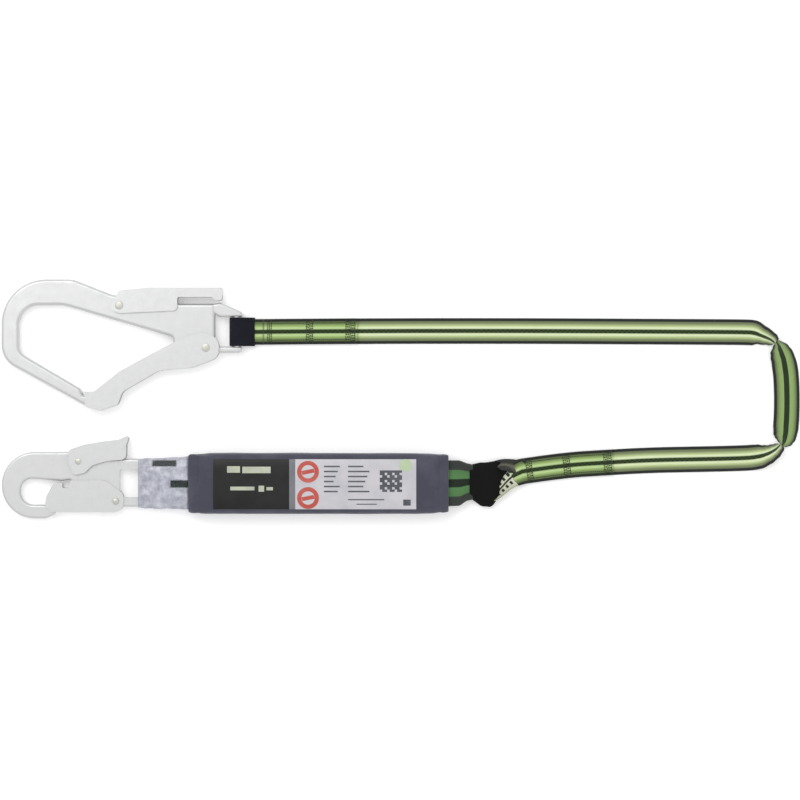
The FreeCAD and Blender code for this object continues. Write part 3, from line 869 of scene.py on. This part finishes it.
def makeHookEnd():
    thick = strap["thick"]
    radius = hookEnd["barRadius"] + hookEnd["gap"] + thick / 2
    tailZ = thick / 2 + strap["layer"]
    tail = [(p.x, tailZ) for p in path.points
            if hookEnd["tailFrom"] < p.x < hookEnd["tailEnd"]]
    flatX, liftedX = hookEnd["lead"]
    line = [(hookEnd["tailEnd"], tailZ), *tail[::-1], (flatX, tailZ),
            (liftedX, tailZ + hookEnd["leadLift"])]
    line += aroundBar(hookEnd["upper"], hookEnd["lower"], hookEnd["bar"], radius)
    loop = sideBand("hookEndLoop", line, strap["width"], thick, strapY)
    place(loop, "strapSewn", "strap_webbing", "hook_end_loop")
    step = thick / 2 + touch + hookEnd["sleeveThick"] / 2
    x, high, low = hookEnd["sleeveX"], hookEnd["upper"][1], hookEnd["lower"][1]
    line = aroundBar((x, high + step + 0.001), (x, low - step + touch / 2),
                     hookEnd["bar"], radius + step)

    def gather(x, across):
        # the sleeve is a little slack at its open end
        high, waveY, waveX = hookEnd["slack"]
        return high * ease(x, *hookEnd["slackFrom"]) * math.sin(across * waveY + x * waveX)

    sleeve = sideBand("hookEndSleeve", line, hookEnd["sleeveWidth"], hookEnd["sleeveThick"],
                      strapY, waves=gather)
    place(sleeve, "sleeve", "sleeve_fabric", "hook_end_sleeve")
    top = tailZ + thick / 2 + touch
    lines = sewnLines(lambda x, across, barX: Vector((x, strapY(barX) + across, top)), hookEnd, 1)
    sewn = stitched("hookEndStitches", lines, "darkThread", "hook_end_stitches")
    return [loop, sleeve, sewn]


hookEndPieces = makeHookEnd()
print("hook end sewn")


# link end: the strap's sewn loop through the absorber's wide loop, inside the chafe boot

link = {
    "tailFrom": 0.396,          # x where the doubled tail ends
    "tailTo": 0.294,
    "paintedShadeRows": 34,           # rows of the upper leg, in painted shade, then of the turned lower leg
    "turnedRows": 84,
    "tailClear": 0.2975,        # past this x the tail lies flat on the strap
    "ripple": 0.0021,
    "bars": ((0.301, 0.307), (0.341, 0.348), (0.385, 0.393)),
    "seams": ((0.308, 0.340), (0.349, 0.384)),
    "reach": (0.0112, 0.0116, 0.0090),
    # plan x, y, height, width left after gathering, lean in degrees
    "ring": [
        (0.2960, -0.0789, 0.0034, 1.0, 0), (0.2900, -0.0762, 0.0044, 0.80, 4),
        (0.2820, -0.0716, 0.0080, 0.46, 10), (0.2730, -0.0710, 0.0088, 0.40, 8),
        (0.2640, -0.0735, 0.0062, 0.38, 4), (0.2540, -0.0780, 0.0063, 0.40, 0),
        (0.2490, -0.0880, 0.0063, 0.40, 0), (0.2510, -0.0980, 0.0063, 0.42, 0),
        (0.2570, -0.1060, 0.0063, 0.44, -10), (0.2640, -0.1058, 0.0066, 0.50, -18),
        (0.2720, -0.0985, 0.0066, 0.58, -20), (0.2800, -0.0890, 0.0060, 0.74, -12),
        (0.2870, -0.0828, 0.0052, 0.92, -4), (0.2960, -0.0789, 0.0057, 1.0, 0),
    ],
}


def endTrack():
    # the last stretch of the strap's path, where the doubled tail lies
    return [p for p in path.points if p.y < 0 and link["tailTo"] <= p.x <= link["tailFrom"]]


def smoothTable(rows, count):
    # even samples of a quadratic B-spline through table rows of numbers
    out = []
    spans = len(rows) - 2
    for i in range(count + 1):
        u = min(i / count * spans, spans - 1e-6)
        k, t = int(u), u - int(u)
        a, b, c = rows[k], rows[k + 1], rows[k + 2]
        wa, wc = (1 - t) ** 2 / 2, t * t / 2
        if k == 0:
            wa *= 2
        if k == spans - 1:
            wc *= 2
        wb = 1 - wa - wc
        out.append([x * wa + y * wb + z * wc for x, y, z in zip(a, b, c)])
    return out


def makeLinkEnd():
    thick, width = strap["thick"], strap["width"]
    ring = smoothTable(link["ring"], 90)
    tail = endTrack()
    tailZ = thick / 2 + strap["layer"]
    rows = [(Vector(r[:3]), r[3], math.radians(r[4])) for r in ring]
    # from the ring's last point the tail doubles back over the strap
    for p in reversed(tail):
        if p.x > link["tailClear"]:
            rows.append((Vector((p.x, p.y, tailZ)), 1.0, 0.0))
    centres = [row[0] for row in rows]
    track = Line(centres)
    headings = headingsAlong([Vector((p.x, p.y, 0)) for p in centres], 2)

    def point(row, across, height):
        centre, share, lean = rows[row]
        # gathered webbing keeps its width as a lengthwise ripple
        ripple = math.sqrt(max(1 - share * share, 0)) * link["ripple"]
        phase = across / width * 2 * math.pi * 1.5
        side = sideways(headings[row])
        level = side * math.cos(lean) + up * math.sin(lean)
        normal = up * math.cos(lean) - side * math.sin(lean)
        bend = ripple * math.sin(phase)
        return centre + level * (across * share) + normal * (height + bend)

    loop = webbingBand("linkLoop", len(rows), width, thick, point,
                       lambda row: track.runs[row])
    place(loop, "strapSewn", "strap_webbing", "link_loop")
    for extra in ("strapInPaintedShade", "strapTurned"):
        loop.data.materials.append(finishes[extra])
    # two faces' worth of columns and the two selvedges make up one row
    faceRows = 2 * (2 * len(webbing["columns"]) - 2) + 2
    for index, face in enumerate(loop.data.polygons):
        row = min(index // faceRows, len(rows) - 2)
        # the upper leg's rows take the painted-shade webbing, the turned lower leg its own
        if row < link["paintedShadeRows"]:
            face.material_index = 1
        elif row < link["turnedRows"]:
            face.material_index = 2
    top = tailZ + thick / 2 + touch
    tailLine = Line(tail)

    def sewnPoint(x, across, barX):
        near = min(tail, key=lambda p: abs(p.x - x))
        run = tailLine.runs[tail.index(near)]
        heading = tailLine.heading(run)
        centre = tailLine.at(run + (x - near.x) / heading.x)
        spot = centre + sideways(heading) * across
        return Vector((spot.x, spot.y, top))

    sewn = stitched("linkEndStitches", sewnLines(sewnPoint, link, 6), "darkThread",
                    "link_end_stitches")
    return [loop, sewn]


linkEndPieces = makeLinkEnd()
print("link end sewn")


# absorber: cover, webbing packed inside, film, labels

coverLow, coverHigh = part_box("absorber_cover")
cover = {
    "x": (coverLow.x, coverHigh.x),
    "y": (coverLow.y + coverHigh.y) / 2,
    "z": (coverLow.z + coverHigh.z) / 2,
    "halfWidth": (coverHigh.y - coverLow.y) / 2,
    "halfHeight": (coverHigh.z - coverLow.z) / 2,
    # distance from an end, half width and half height as shares of the full section
    "ends": [(0.0, 0.925, 0.52), (0.0015, 0.95, 0.60), (0.005, 0.965, 0.74),
             (0.012, 0.975, 0.90), (0.024, 0.99, 0.97), (0.040, 1.0, 1.0)],
    "mouthRows": (0.0, 0.0007, 0.0015, 0.0026, 0.0038, 0.005, 0.0065, 0.008, 0.010),
    "evenFrom": 0.012,          # rows are evenly spaced from here
    "evenRows": 128,
    "boxiness": 4.6,
    "around": 96,
    "wall": 0.0010,
    # how far in, and the share of the half width that goes, where a mouth turns in
    "mouth": ((0.0004, 0.04), (0.002, 0.06), (0.006, 0.065)),
    "seamAt": 0.0105,
    "seamSunk": 0.0003,
    "groove": (0.0007, 0.0016),         # depth and half width of the seam's groove
    "soft": ((28, 40, 40), 0.0008),     # bumps to the metre, height
    "tuck": ((90, 2.5, 2.5), 0.0012),
    "tuckFade": (0.006, 0.05),          # the tucks die out between these distances
    "calm": (0.026, 0.35),              # past this the upper face keeps only this share
    "most": 0.0004,
}


def coverShare(x, column):
    edge = min(x - cover["x"][0], cover["x"][1] - x)
    return blendBetween([(row[0], row[column]) for row in cover["ends"]], max(edge, 0.0))


def coverTop(x, y):
    # height of the cover's upper face
    a = cover["halfWidth"] * coverShare(x, 1)
    b = cover["halfHeight"] * coverShare(x, 2)
    n = cover["boxiness"]
    return cover["z"] + b * max(1 - abs((y - cover["y"]) / a) ** n, 0.0) ** (1 / n)


def onSection(angle, a, b, power):
    # a point of a rounded box section, from its middle
    c, s = math.cos(angle), math.sin(angle)
    return (a * math.copysign(abs(c) ** (2 / power), c),
            b * math.copysign(abs(s) ** (2 / power), s))


def tubeMesh(name, sections, around, power, ripple):
    # sections are (x, middle y, middle z, half width, half height)
    points, faces = [], []
    for x, y, z, a, b in sections:
        for i in range(around):
            angle = 2 * math.pi * i / around
            wide, high = onSection(angle, a, b, power)
            flat = Vector((x, y + wide, z + high))
            away = Vector((0, math.cos(angle), math.sin(angle))).normalized()
            points.append(flat + away * ripple(x, angle, flat))
    for r in range(len(sections) - 1):
        for i in range(around):
            j = (i + 1) % around
            faces.append((r * around + i, r * around + j,
                          (r + 1) * around + j, (r + 1) * around + i))
    return meshObject(name, points, faces)


def turnedIn(sections, mouth, narrowed):
    # both mouths turn in, so that the cloth's edge is hidden inside
    for end, inward in ((0, 1), (-1, -1)):
        x, y, z, a, b = sections[end]
        turned = [(x + inward * deep, y, z, *narrowed(a, b, less)) for deep, less in mouth]
        sections = turned[::-1] + sections if end == 0 else sections + turned
    return sections


def thickened(piece, wall):
    outward(piece)
    solid = piece.modifiers.new("wall", "SOLIDIFY")
    solid.thickness = wall
    solid.offset = -1.0
    return settle(piece)


def makeCover():
    x0, x1 = cover["x"]
    inset, count = cover["evenFrom"], cover["evenRows"]
    xs = [x0 + step for step in cover["mouthRows"]]
    xs += [x0 + inset + (x1 - x0 - 2 * inset) * i / count for i in range(count + 1)]
    xs += [x1 - step for step in reversed(cover["mouthRows"])]
    sections = [(x, cover["y"], cover["z"], cover["halfWidth"] * coverShare(x, 1),
                 cover["halfHeight"] * coverShare(x, 2)) for x in xs]
    sections = turnedIn(sections, cover["mouth"],
                        lambda a, b, less: (a * (1 - less), b * (1 - 2 * less)))

    (softSize, softHigh), (tuckSize, tuckHigh) = cover["soft"], cover["tuck"]
    (deep, broad), (calmFrom, calm) = cover["groove"], cover["calm"]

    def ripple(x, angle, flat):
        edge = min(x - x0, x1 - x)
        pull = 1 - ease(edge, *cover["tuckFade"])
        soft = bumps((x, flat.y, flat.z), softSize) * softHigh
        tuck = bumps((x, math.cos(angle), math.sin(angle)), tuckSize) * tuckHigh
        seam = -deep * math.exp(-((edge - cover["seamAt"]) / broad) ** 2)
        level = calm if flat.z > cover["z"] and calmFrom < edge else 1.0
        return min((soft + tuck * pull) * level, cover["most"]) + seam

    piece = tubeMesh("absorberCover", sections, cover["around"], cover["boxiness"], ripple)
    thickened(piece, cover["wall"])
    place(piece, "cover", "cover_fabric", "absorber_cover")
    lines = []
    for x in (x0 + cover["seamAt"], x1 - cover["seamAt"]):
        a = cover["halfWidth"] * coverShare(x, 1) - cover["seamSunk"]
        b = cover["halfHeight"] * coverShare(x, 2) - cover["seamSunk"]
        turns = [2 * math.pi * i / cover["around"] for i in range(cover["around"] + 1)]
        ring = [onSection(turn, a, b, cover["boxiness"]) for turn in turns]
        lines.append([Vector((x, cover["y"] + wide, cover["z"] + high)) for wide, high in ring])
    stitched("coverStitches", lines, "greyThread", pitch=0.0032, length=0.0026,
             thickness=0.0006)


packing = {
    "wrapInset": 0.009,
    "wrapRows": 60,
    "wrapHalf": (0.0258, 0.0126),
    "wrapWall": 0.0004,
    "wrapBumps": (60, 50, 50),
    "layers": 8,
    "pitch": 0.0028,
    "thick": 0.0022,
    "seams": 9,
    "firstSeam": 0.017,
    "seamStep": 0.0275,
    "seamHalf": 0.018,
}


def makePacking():
    low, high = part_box("inner_wrap")
    start, end = low.x + packing["wrapInset"], high.x - packing["wrapInset"]
    count = packing["wrapRows"]
    sections = [(start + (end - start) * i / count, cover["y"], cover["z"],
                 *packing["wrapHalf"]) for i in range(count + 1)]

    def ripple(x, angle, flat):
        return bumps((x, flat.y, flat.z), packing["wrapBumps"]) * 0.0005 - 0.0004

    wrap = thickened(tubeMesh("innerWrap", sections, 64, 6.0, ripple), packing["wrapWall"])
    place(wrap, "innerFilm", "inner_film", "inner_wrap")
    low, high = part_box("tear_webbing")
    layers, pitch, thick = packing["layers"], packing["pitch"], packing["thick"]
    first = low.z + thick / 2
    line = [(low.x + thick, first)]
    for i in range(layers - 1):
        x, turn = (high.x - thick, 1) if i % 2 == 0 else (low.x + thick, -1)
        z = first + pitch * (i + 0.5)
        line += [(x + turn * pitch / 2 * math.sin(math.pi * k / 8),
                  z - pitch / 2 * math.cos(math.pi * k / 8)) for k in range(9)]
    line.append((low.x + thick, first + pitch * (layers - 1)))
    packed = sideBand("tearWebbing", line, high.y - low.y, thick, lambda x: cover["y"])
    place(packed, "tear", "tear_webbing", "tear_webbing")
    top, half = high.z + touch, packing["seamHalf"]
    first, step = low.x + packing["firstSeam"], packing["seamStep"]
    xs = [first + i * step for i in range(packing["seams"])]
    lines = [[Vector((x, cover["y"] + y, top)) for y in (-half, half)] for x in xs]
    stitched("tearStitches", lines, "whiteThread", "tear_stitches")


def laidSlab(name, cells, lift, thick):
    # thin closed patches that follow the cover's upper face; a cell is (u, v) -> (x, y)
    points, faces = [], []
    for cell, nu, nv in cells:
        first = len(points)
        for level in (lift, lift + thick):
            for i in range(nu + 1):
                for j in range(nv + 1):
                    x, y = cell(i / nu, j / nv)
                    points.append((x, y, coverTop(x, y) + level))
        step = (nu + 1) * (nv + 1)

        def spot(level, i, j):
            return first + level * step + i * (nv + 1) + j

        for i in range(nu):
            for j in range(nv):
                faces.append([spot(1, i, j), spot(1, i + 1, j), spot(1, i + 1, j + 1),
                              spot(1, i, j + 1)])
                faces.append([spot(0, i, j), spot(0, i, j + 1), spot(0, i + 1, j + 1),
                              spot(0, i + 1, j)])
        walls = []
        for i in range(nu):
            walls += [((i, 0), (i + 1, 0)), ((i + 1, nv), (i, nv))]
        for j in range(nv):
            walls += [((0, j + 1), (0, j)), ((nu, j), (nu, j + 1))]
        faces += [[spot(0, *a), spot(0, *b), spot(1, *b), spot(1, *a)] for a, b in walls]
    return outward(meshObject(name, points, faces, smooth=False))


def rectangle(x0, x1, y0, y1, fine=0.004):
    return (lambda u, v: (x0 + (x1 - x0) * u, y0 + (y1 - y0) * v),
            max(1, round((x1 - x0) / fine)), max(1, round((y1 - y0) / fine)))


def disc(x, y, radius):
    def spot(u, v):
        p, q = 2 * u - 1, 2 * v - 1
        return (x + radius * p * math.sqrt(1 - q * q / 2),
                y + radius * q * math.sqrt(1 - p * p / 2))
    return spot, 12, 12


def slanted(x, y):
    # a short bar across a disc
    wide, deep = labels["discBar"]
    return (lambda u, v: (x + (u - 0.5) * wide[0] + (v - 0.5) * wide[1],
                          y + (u - 0.5) * deep[0] + (v - 0.5) * deep[1]), 4, 1)


labels = {
    "thick": 0.0003,
    "ink": 0.00012,             # thickness of a printed patch
    "overInk": 0.0001,          # and of a patch laid on another
    "fine": 0.003,
    # each list of boxes is low x, high x, low y, high y
    "blackBlocks": [(-0.0235, -0.0095, -0.0795, -0.0725), (-0.0070, 0.0235, -0.0800, -0.0730),
                    (-0.0200, 0.0060, -0.0985, -0.0945), (0.0105, 0.0165, -0.1000, -0.0935),
                    (0.0190, 0.0260, -0.0985, -0.0950)],
    "discs": [(0.0638, -0.0785), (0.0638, -0.1068)],
    "discRadius": 0.0118,
    "centreRadius": 0.0072,
    "discBar": ((0.0135, -0.0016), (0.0026, 0.0040)),
    "rules": [(0.081, 0.098), (0.107, 0.130)],
    "ruleRows": (-0.0728, -0.0782, -0.0836, -0.0890, -0.0944, -0.0998),
    "ruleHalf": 0.0008,
    "ruleShort": 0.0022,
    "square": (0.1412, 0.1652, -0.1002, -0.0770),
    "tiles": 9,
    "footRules": [(0.107, 0.146, -0.1092, -0.1080), (0.116, 0.138, -0.1140, -0.1130),
                  (0.1665, 0.1745, -0.1150, -0.1085)],
    "leaf": (0.1690, -0.0716, 0.0068),
}


def ruleCells():
    cells, half = [], labels["ruleHalf"]
    for index, y in enumerate(labels["ruleRows"]):
        for column, (a, b) in enumerate(labels["rules"]):
            short = labels["ruleShort"] * ((index * 5 + column * 3) % 4)
            cells.append(rectangle(a, b - short, y - half, y + half))
    return cells + [rectangle(*box) for box in labels["footRules"]]


def squareCells():
    x0, x1, y0, y1 = labels["square"]
    tiles = labels["tiles"]
    wide, deep = (x1 - x0) / tiles, (y1 - y0) / tiles
    return [rectangle(x0 + i * wide, x0 + (i + 1) * wide, y0 + j * deep, y0 + (j + 1) * deep)
            for i in range(tiles) for j in range(tiles) if (i * 7 + j * 5 + i * j) % 3]


def makeLabels():
    for name, node, finish, slotName in (
            ("labelBlack", "label_black", "labelBlack", "label_black"),
            ("labelDivider", "label_divider", "labelGrey", "label_grey"),
            ("labelWhite", "label_white", "labelWhite", "label_white")):
        low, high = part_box(node)
        piece = laidSlab(name, [rectangle(low.x, high.x, low.y, high.y, labels["fine"])],
                         touch, labels["thick"])
        place(piece, finish, slotName, node)
    lift = touch + labels["thick"]
    ink, overInk = labels["ink"], labels["overInk"]
    blocks = [rectangle(*box, labels["fine"]) for box in labels["blackBlocks"]]
    discs = [disc(x, y, labels["discRadius"]) for x, y in labels["discs"]]
    centres = [disc(x, y, labels["centreRadius"]) for x, y in labels["discs"]]
    bars = [slanted(x, y) for x, y in labels["discs"]]
    for name, finish, slotName, cells, level, thick in (
            ("printPale", "paleInk", "label_black", blocks, lift, ink),
            ("printRed", "redInk", "label_white", discs, lift, ink),
            ("printGrey", "greyInk", "label_white", ruleCells(), lift, ink),
            ("printDiscCentres", "labelWhite", "label_white", centres, lift + ink, overInk),
            ("printDiscBars", "redInk", "label_white", bars, lift + ink + overInk, overInk),
            ("squareGrey", "greyInk", "label_white", squareCells(), lift, ink),
            ("printLeaf", "greenInk", "label_white", [disc(*labels["leaf"])], lift, ink)):
        place(laidSlab(name, cells, level, thick), finish, slotName)


makeCover()
makePacking()
makeLabels()
print("absorber made")


# absorber's webbing loops, the film at one end and the boot at the other

def gathered(widths, wide, high, pitch):
    # the webbing's spare width stands up in soft ripples where it narrows
    def lift(x, across):
        share = widths(x) / wide
        return (high * math.sqrt(max(1 - share * share, 0))
                * math.cos(across * 2 * math.pi / pitch))
    return lift


def makeSnapEnd():
    thick, wide = snapEnd["thick"], snapEnd["wide"]
    radius = snapEnd["barRadius"] + snapEnd["gap"] + thick / 2
    line = aroundBar(snapEnd["upper"], snapEnd["lower"], snapEnd["bar"], radius)

    def widths(x):
        part = (x - snapEnd["narrowAt"]) / (snapEnd["wideAt"] - snapEnd["narrowAt"])
        return snapEnd["narrow"] + (wide - snapEnd["narrow"]) * min(max(part, 0), 1)

    loop = sideBand("snapEndLoop", line, wide, thick, lambda x: cover["y"], widths,
                    gathered(widths, wide, snapEnd["rippleHigh"], snapEnd["ripplePitch"]))
    place(loop, "loop", "loop_webbing", "snap_end_loop")


def makeFilm():
    rows = smoothTable([(x, (low + high) / 2, half, (high - low) / 2)
                        for x, half, low, high in film["sections"]], 44)
    sections = [(x, cover["y"], z, a, b) for x, z, a, b in rows]
    (foldSize, foldHigh), (longSize, longHigh) = film["folds"], film["longFolds"]

    def ripple(x, angle, flat):
        fold = bumps((x, flat.y, flat.z), foldSize) * foldHigh
        return fold + bumps((x, math.cos(angle), math.sin(angle)), longSize) * longHigh

    piece = thickened(tubeMesh("filmSleeve", sections, 88, 3.6, ripple), film["wall"])
    piece.data.materials.append(finishes["film"])
    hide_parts("film_sleeve")
    start, end = film["blend"]
    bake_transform(piece)


linkLoop = {
    # side view: upper layer out of the cover, round the strap's loop, and back below
    "side": [(0.2032, 0.0182), (0.2110, 0.0182), (0.2190, 0.0178), (0.2280, 0.0136),
             (0.2380, 0.0098), (0.2480, 0.0092), (0.2570, 0.0092), (0.2630, 0.0090),
             (0.2630, 0.0026), (0.2570, 0.0026), (0.2480, 0.0026), (0.2370, 0.0028),
             (0.2280, 0.0082), (0.2190, 0.0142), (0.2110, 0.0144), (0.2032, 0.0144)],
    "thick": 0.0022,
    "widths": [(0.2032, 0.0500), (0.2260, 0.0495), (0.2380, 0.0400), (0.2470, 0.0330),
               (0.2660, 0.0320)],
    "middles": [(0.2032, -0.0915), (0.2260, -0.0913), (0.2380, -0.0902), (0.2470, -0.0910),
                (0.2660, -0.0910)],
    "rippleHigh": 0.0006,
    "ripplePitch": 0.0125,
}


def makeLinkLoop():
    wide = linkLoop["widths"][0][1]

    def widths(x):
        return blendBetween(linkLoop["widths"], x)

    loop = sideBand("linkEndLoop", smoothTable(linkLoop["side"], 120), wide, linkLoop["thick"],
                    lambda x: blendBetween(linkLoop["middles"], x), widths,
                    gathered(widths, wide, linkLoop["rippleHigh"], linkLoop["ripplePitch"]))
    place(loop, "loop", "loop_webbing", "link_end_loop")


boot = {
    # x, low y, high y
    "sections": [(0.2386, -0.1070, -0.0705), (0.2420, -0.1100, -0.0702),
                 (0.2470, -0.1142, -0.0698), (0.2520, -0.1176, -0.0690),
                 (0.2570, -0.1180, -0.0680), (0.2620, -0.1174, -0.0674),
                 (0.2660, -0.1140, -0.0670), (0.2700, -0.1060, -0.0668),
                 (0.2750, -0.0940, -0.0664), (0.2800, -0.0830, -0.0660),
                 (0.2830, -0.0760, -0.0660)],
    "low": 0.0003,
    "high": 0.0126,
    "squash": 0.97,
    "wall": 0.0007,
    "mouth": ((0.0002, 0.0006), (0.0012, 0.0011), (0.003, 0.0012)),
    "slant": (260, 90),         # slanting tucks, radians to the metre
    "tuckHigh": 0.00045,
    "sway": (50, 50, 1),
    "swayTurn": 2.2,
    "soft": (130, 110, 110),
    "softHigh": 0.0006,
    "sunk": 0.0004,
    "tipFrom": 0.2665,          # past this x the boot thins to a tongue under the upper leg
    "tipTo": 0.2760,
    "tipHigh": 0.0062,
}


def makeBoot():
    rows = smoothTable(boot["sections"], 40)
    middleZ = (boot["low"] + boot["high"]) / 2
    half = (boot["high"] - boot["low"]) / 2
    sections = []
    for x, a, b in rows:
        thin = ease(x, boot["tipFrom"], boot["tipTo"]) * (boot["high"] - boot["tipHigh"]) / 2
        sections.append((x, (a + b) / 2, middleZ - thin, (b - a) / 2,
                         half * boot["squash"] - thin))
    sections = turnedIn(sections, boot["mouth"], lambda a, b, less: (a - less, b - less))
    slantX, slantY = boot["slant"]

    def ripple(x, angle, flat):
        sway = bumps((x, flat.y, 0.0), boot["sway"]) * boot["swayTurn"]
        tuck = math.sin(x * slantX + flat.y * slantY + sway) * boot["tuckHigh"]
        soft = bumps((x, flat.y, flat.z), boot["soft"]) * boot["softHigh"]
        return tuck + soft - boot["sunk"]

    piece = thickened(tubeMesh("linkBoot", sections, 84, 3.2, ripple), boot["wall"])
    place(piece, "boot", "boot_fabric", "link_boot")


makeSnapEnd()
makeFilm()
makeLinkLoop()
makeBoot()
print("loops, film and boot made")


# hooks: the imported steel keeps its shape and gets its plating; rivets get domed heads

steelParts = {
    "hook": ("body",),
    "sheet": ("gate", "lever"),
    "rivet": ("gate_rivet", "lever_rivet"),
    "spring": ("gate_spring", "lever_spring"),
}
rivetHeads = {"crown": 0.0007, "overlap": 1.16}
for hook in ("scaffold", "snap"):
    for finish, parts in steelParts.items():
        for part in parts:
            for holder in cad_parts[hook + "_" + part].material_slots:
                holder.material = finishes[finish]
    spots = []
    for part in steelParts["rivet"]:
        low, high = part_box(hook + "_" + part)
        spots.append(Vector(((low.x + high.x) / 2, (low.y + high.y) / 2, high.z)))
        radius = (high.x - low.x) / 2
    heads = grown(hook + "_hookRivetHeads", headTree, spots, [],
                  Radius=radius * rivetHeads["overlap"], Crown=rivetHeads["crown"],
                  Metal=finishes["rivet"])
    place(heads, None, "rivet_steel", body=hook + "_hook")
print("hooks finished")

[tuple(p) for p in path.points]
hookEndPieces + linkEndPieces
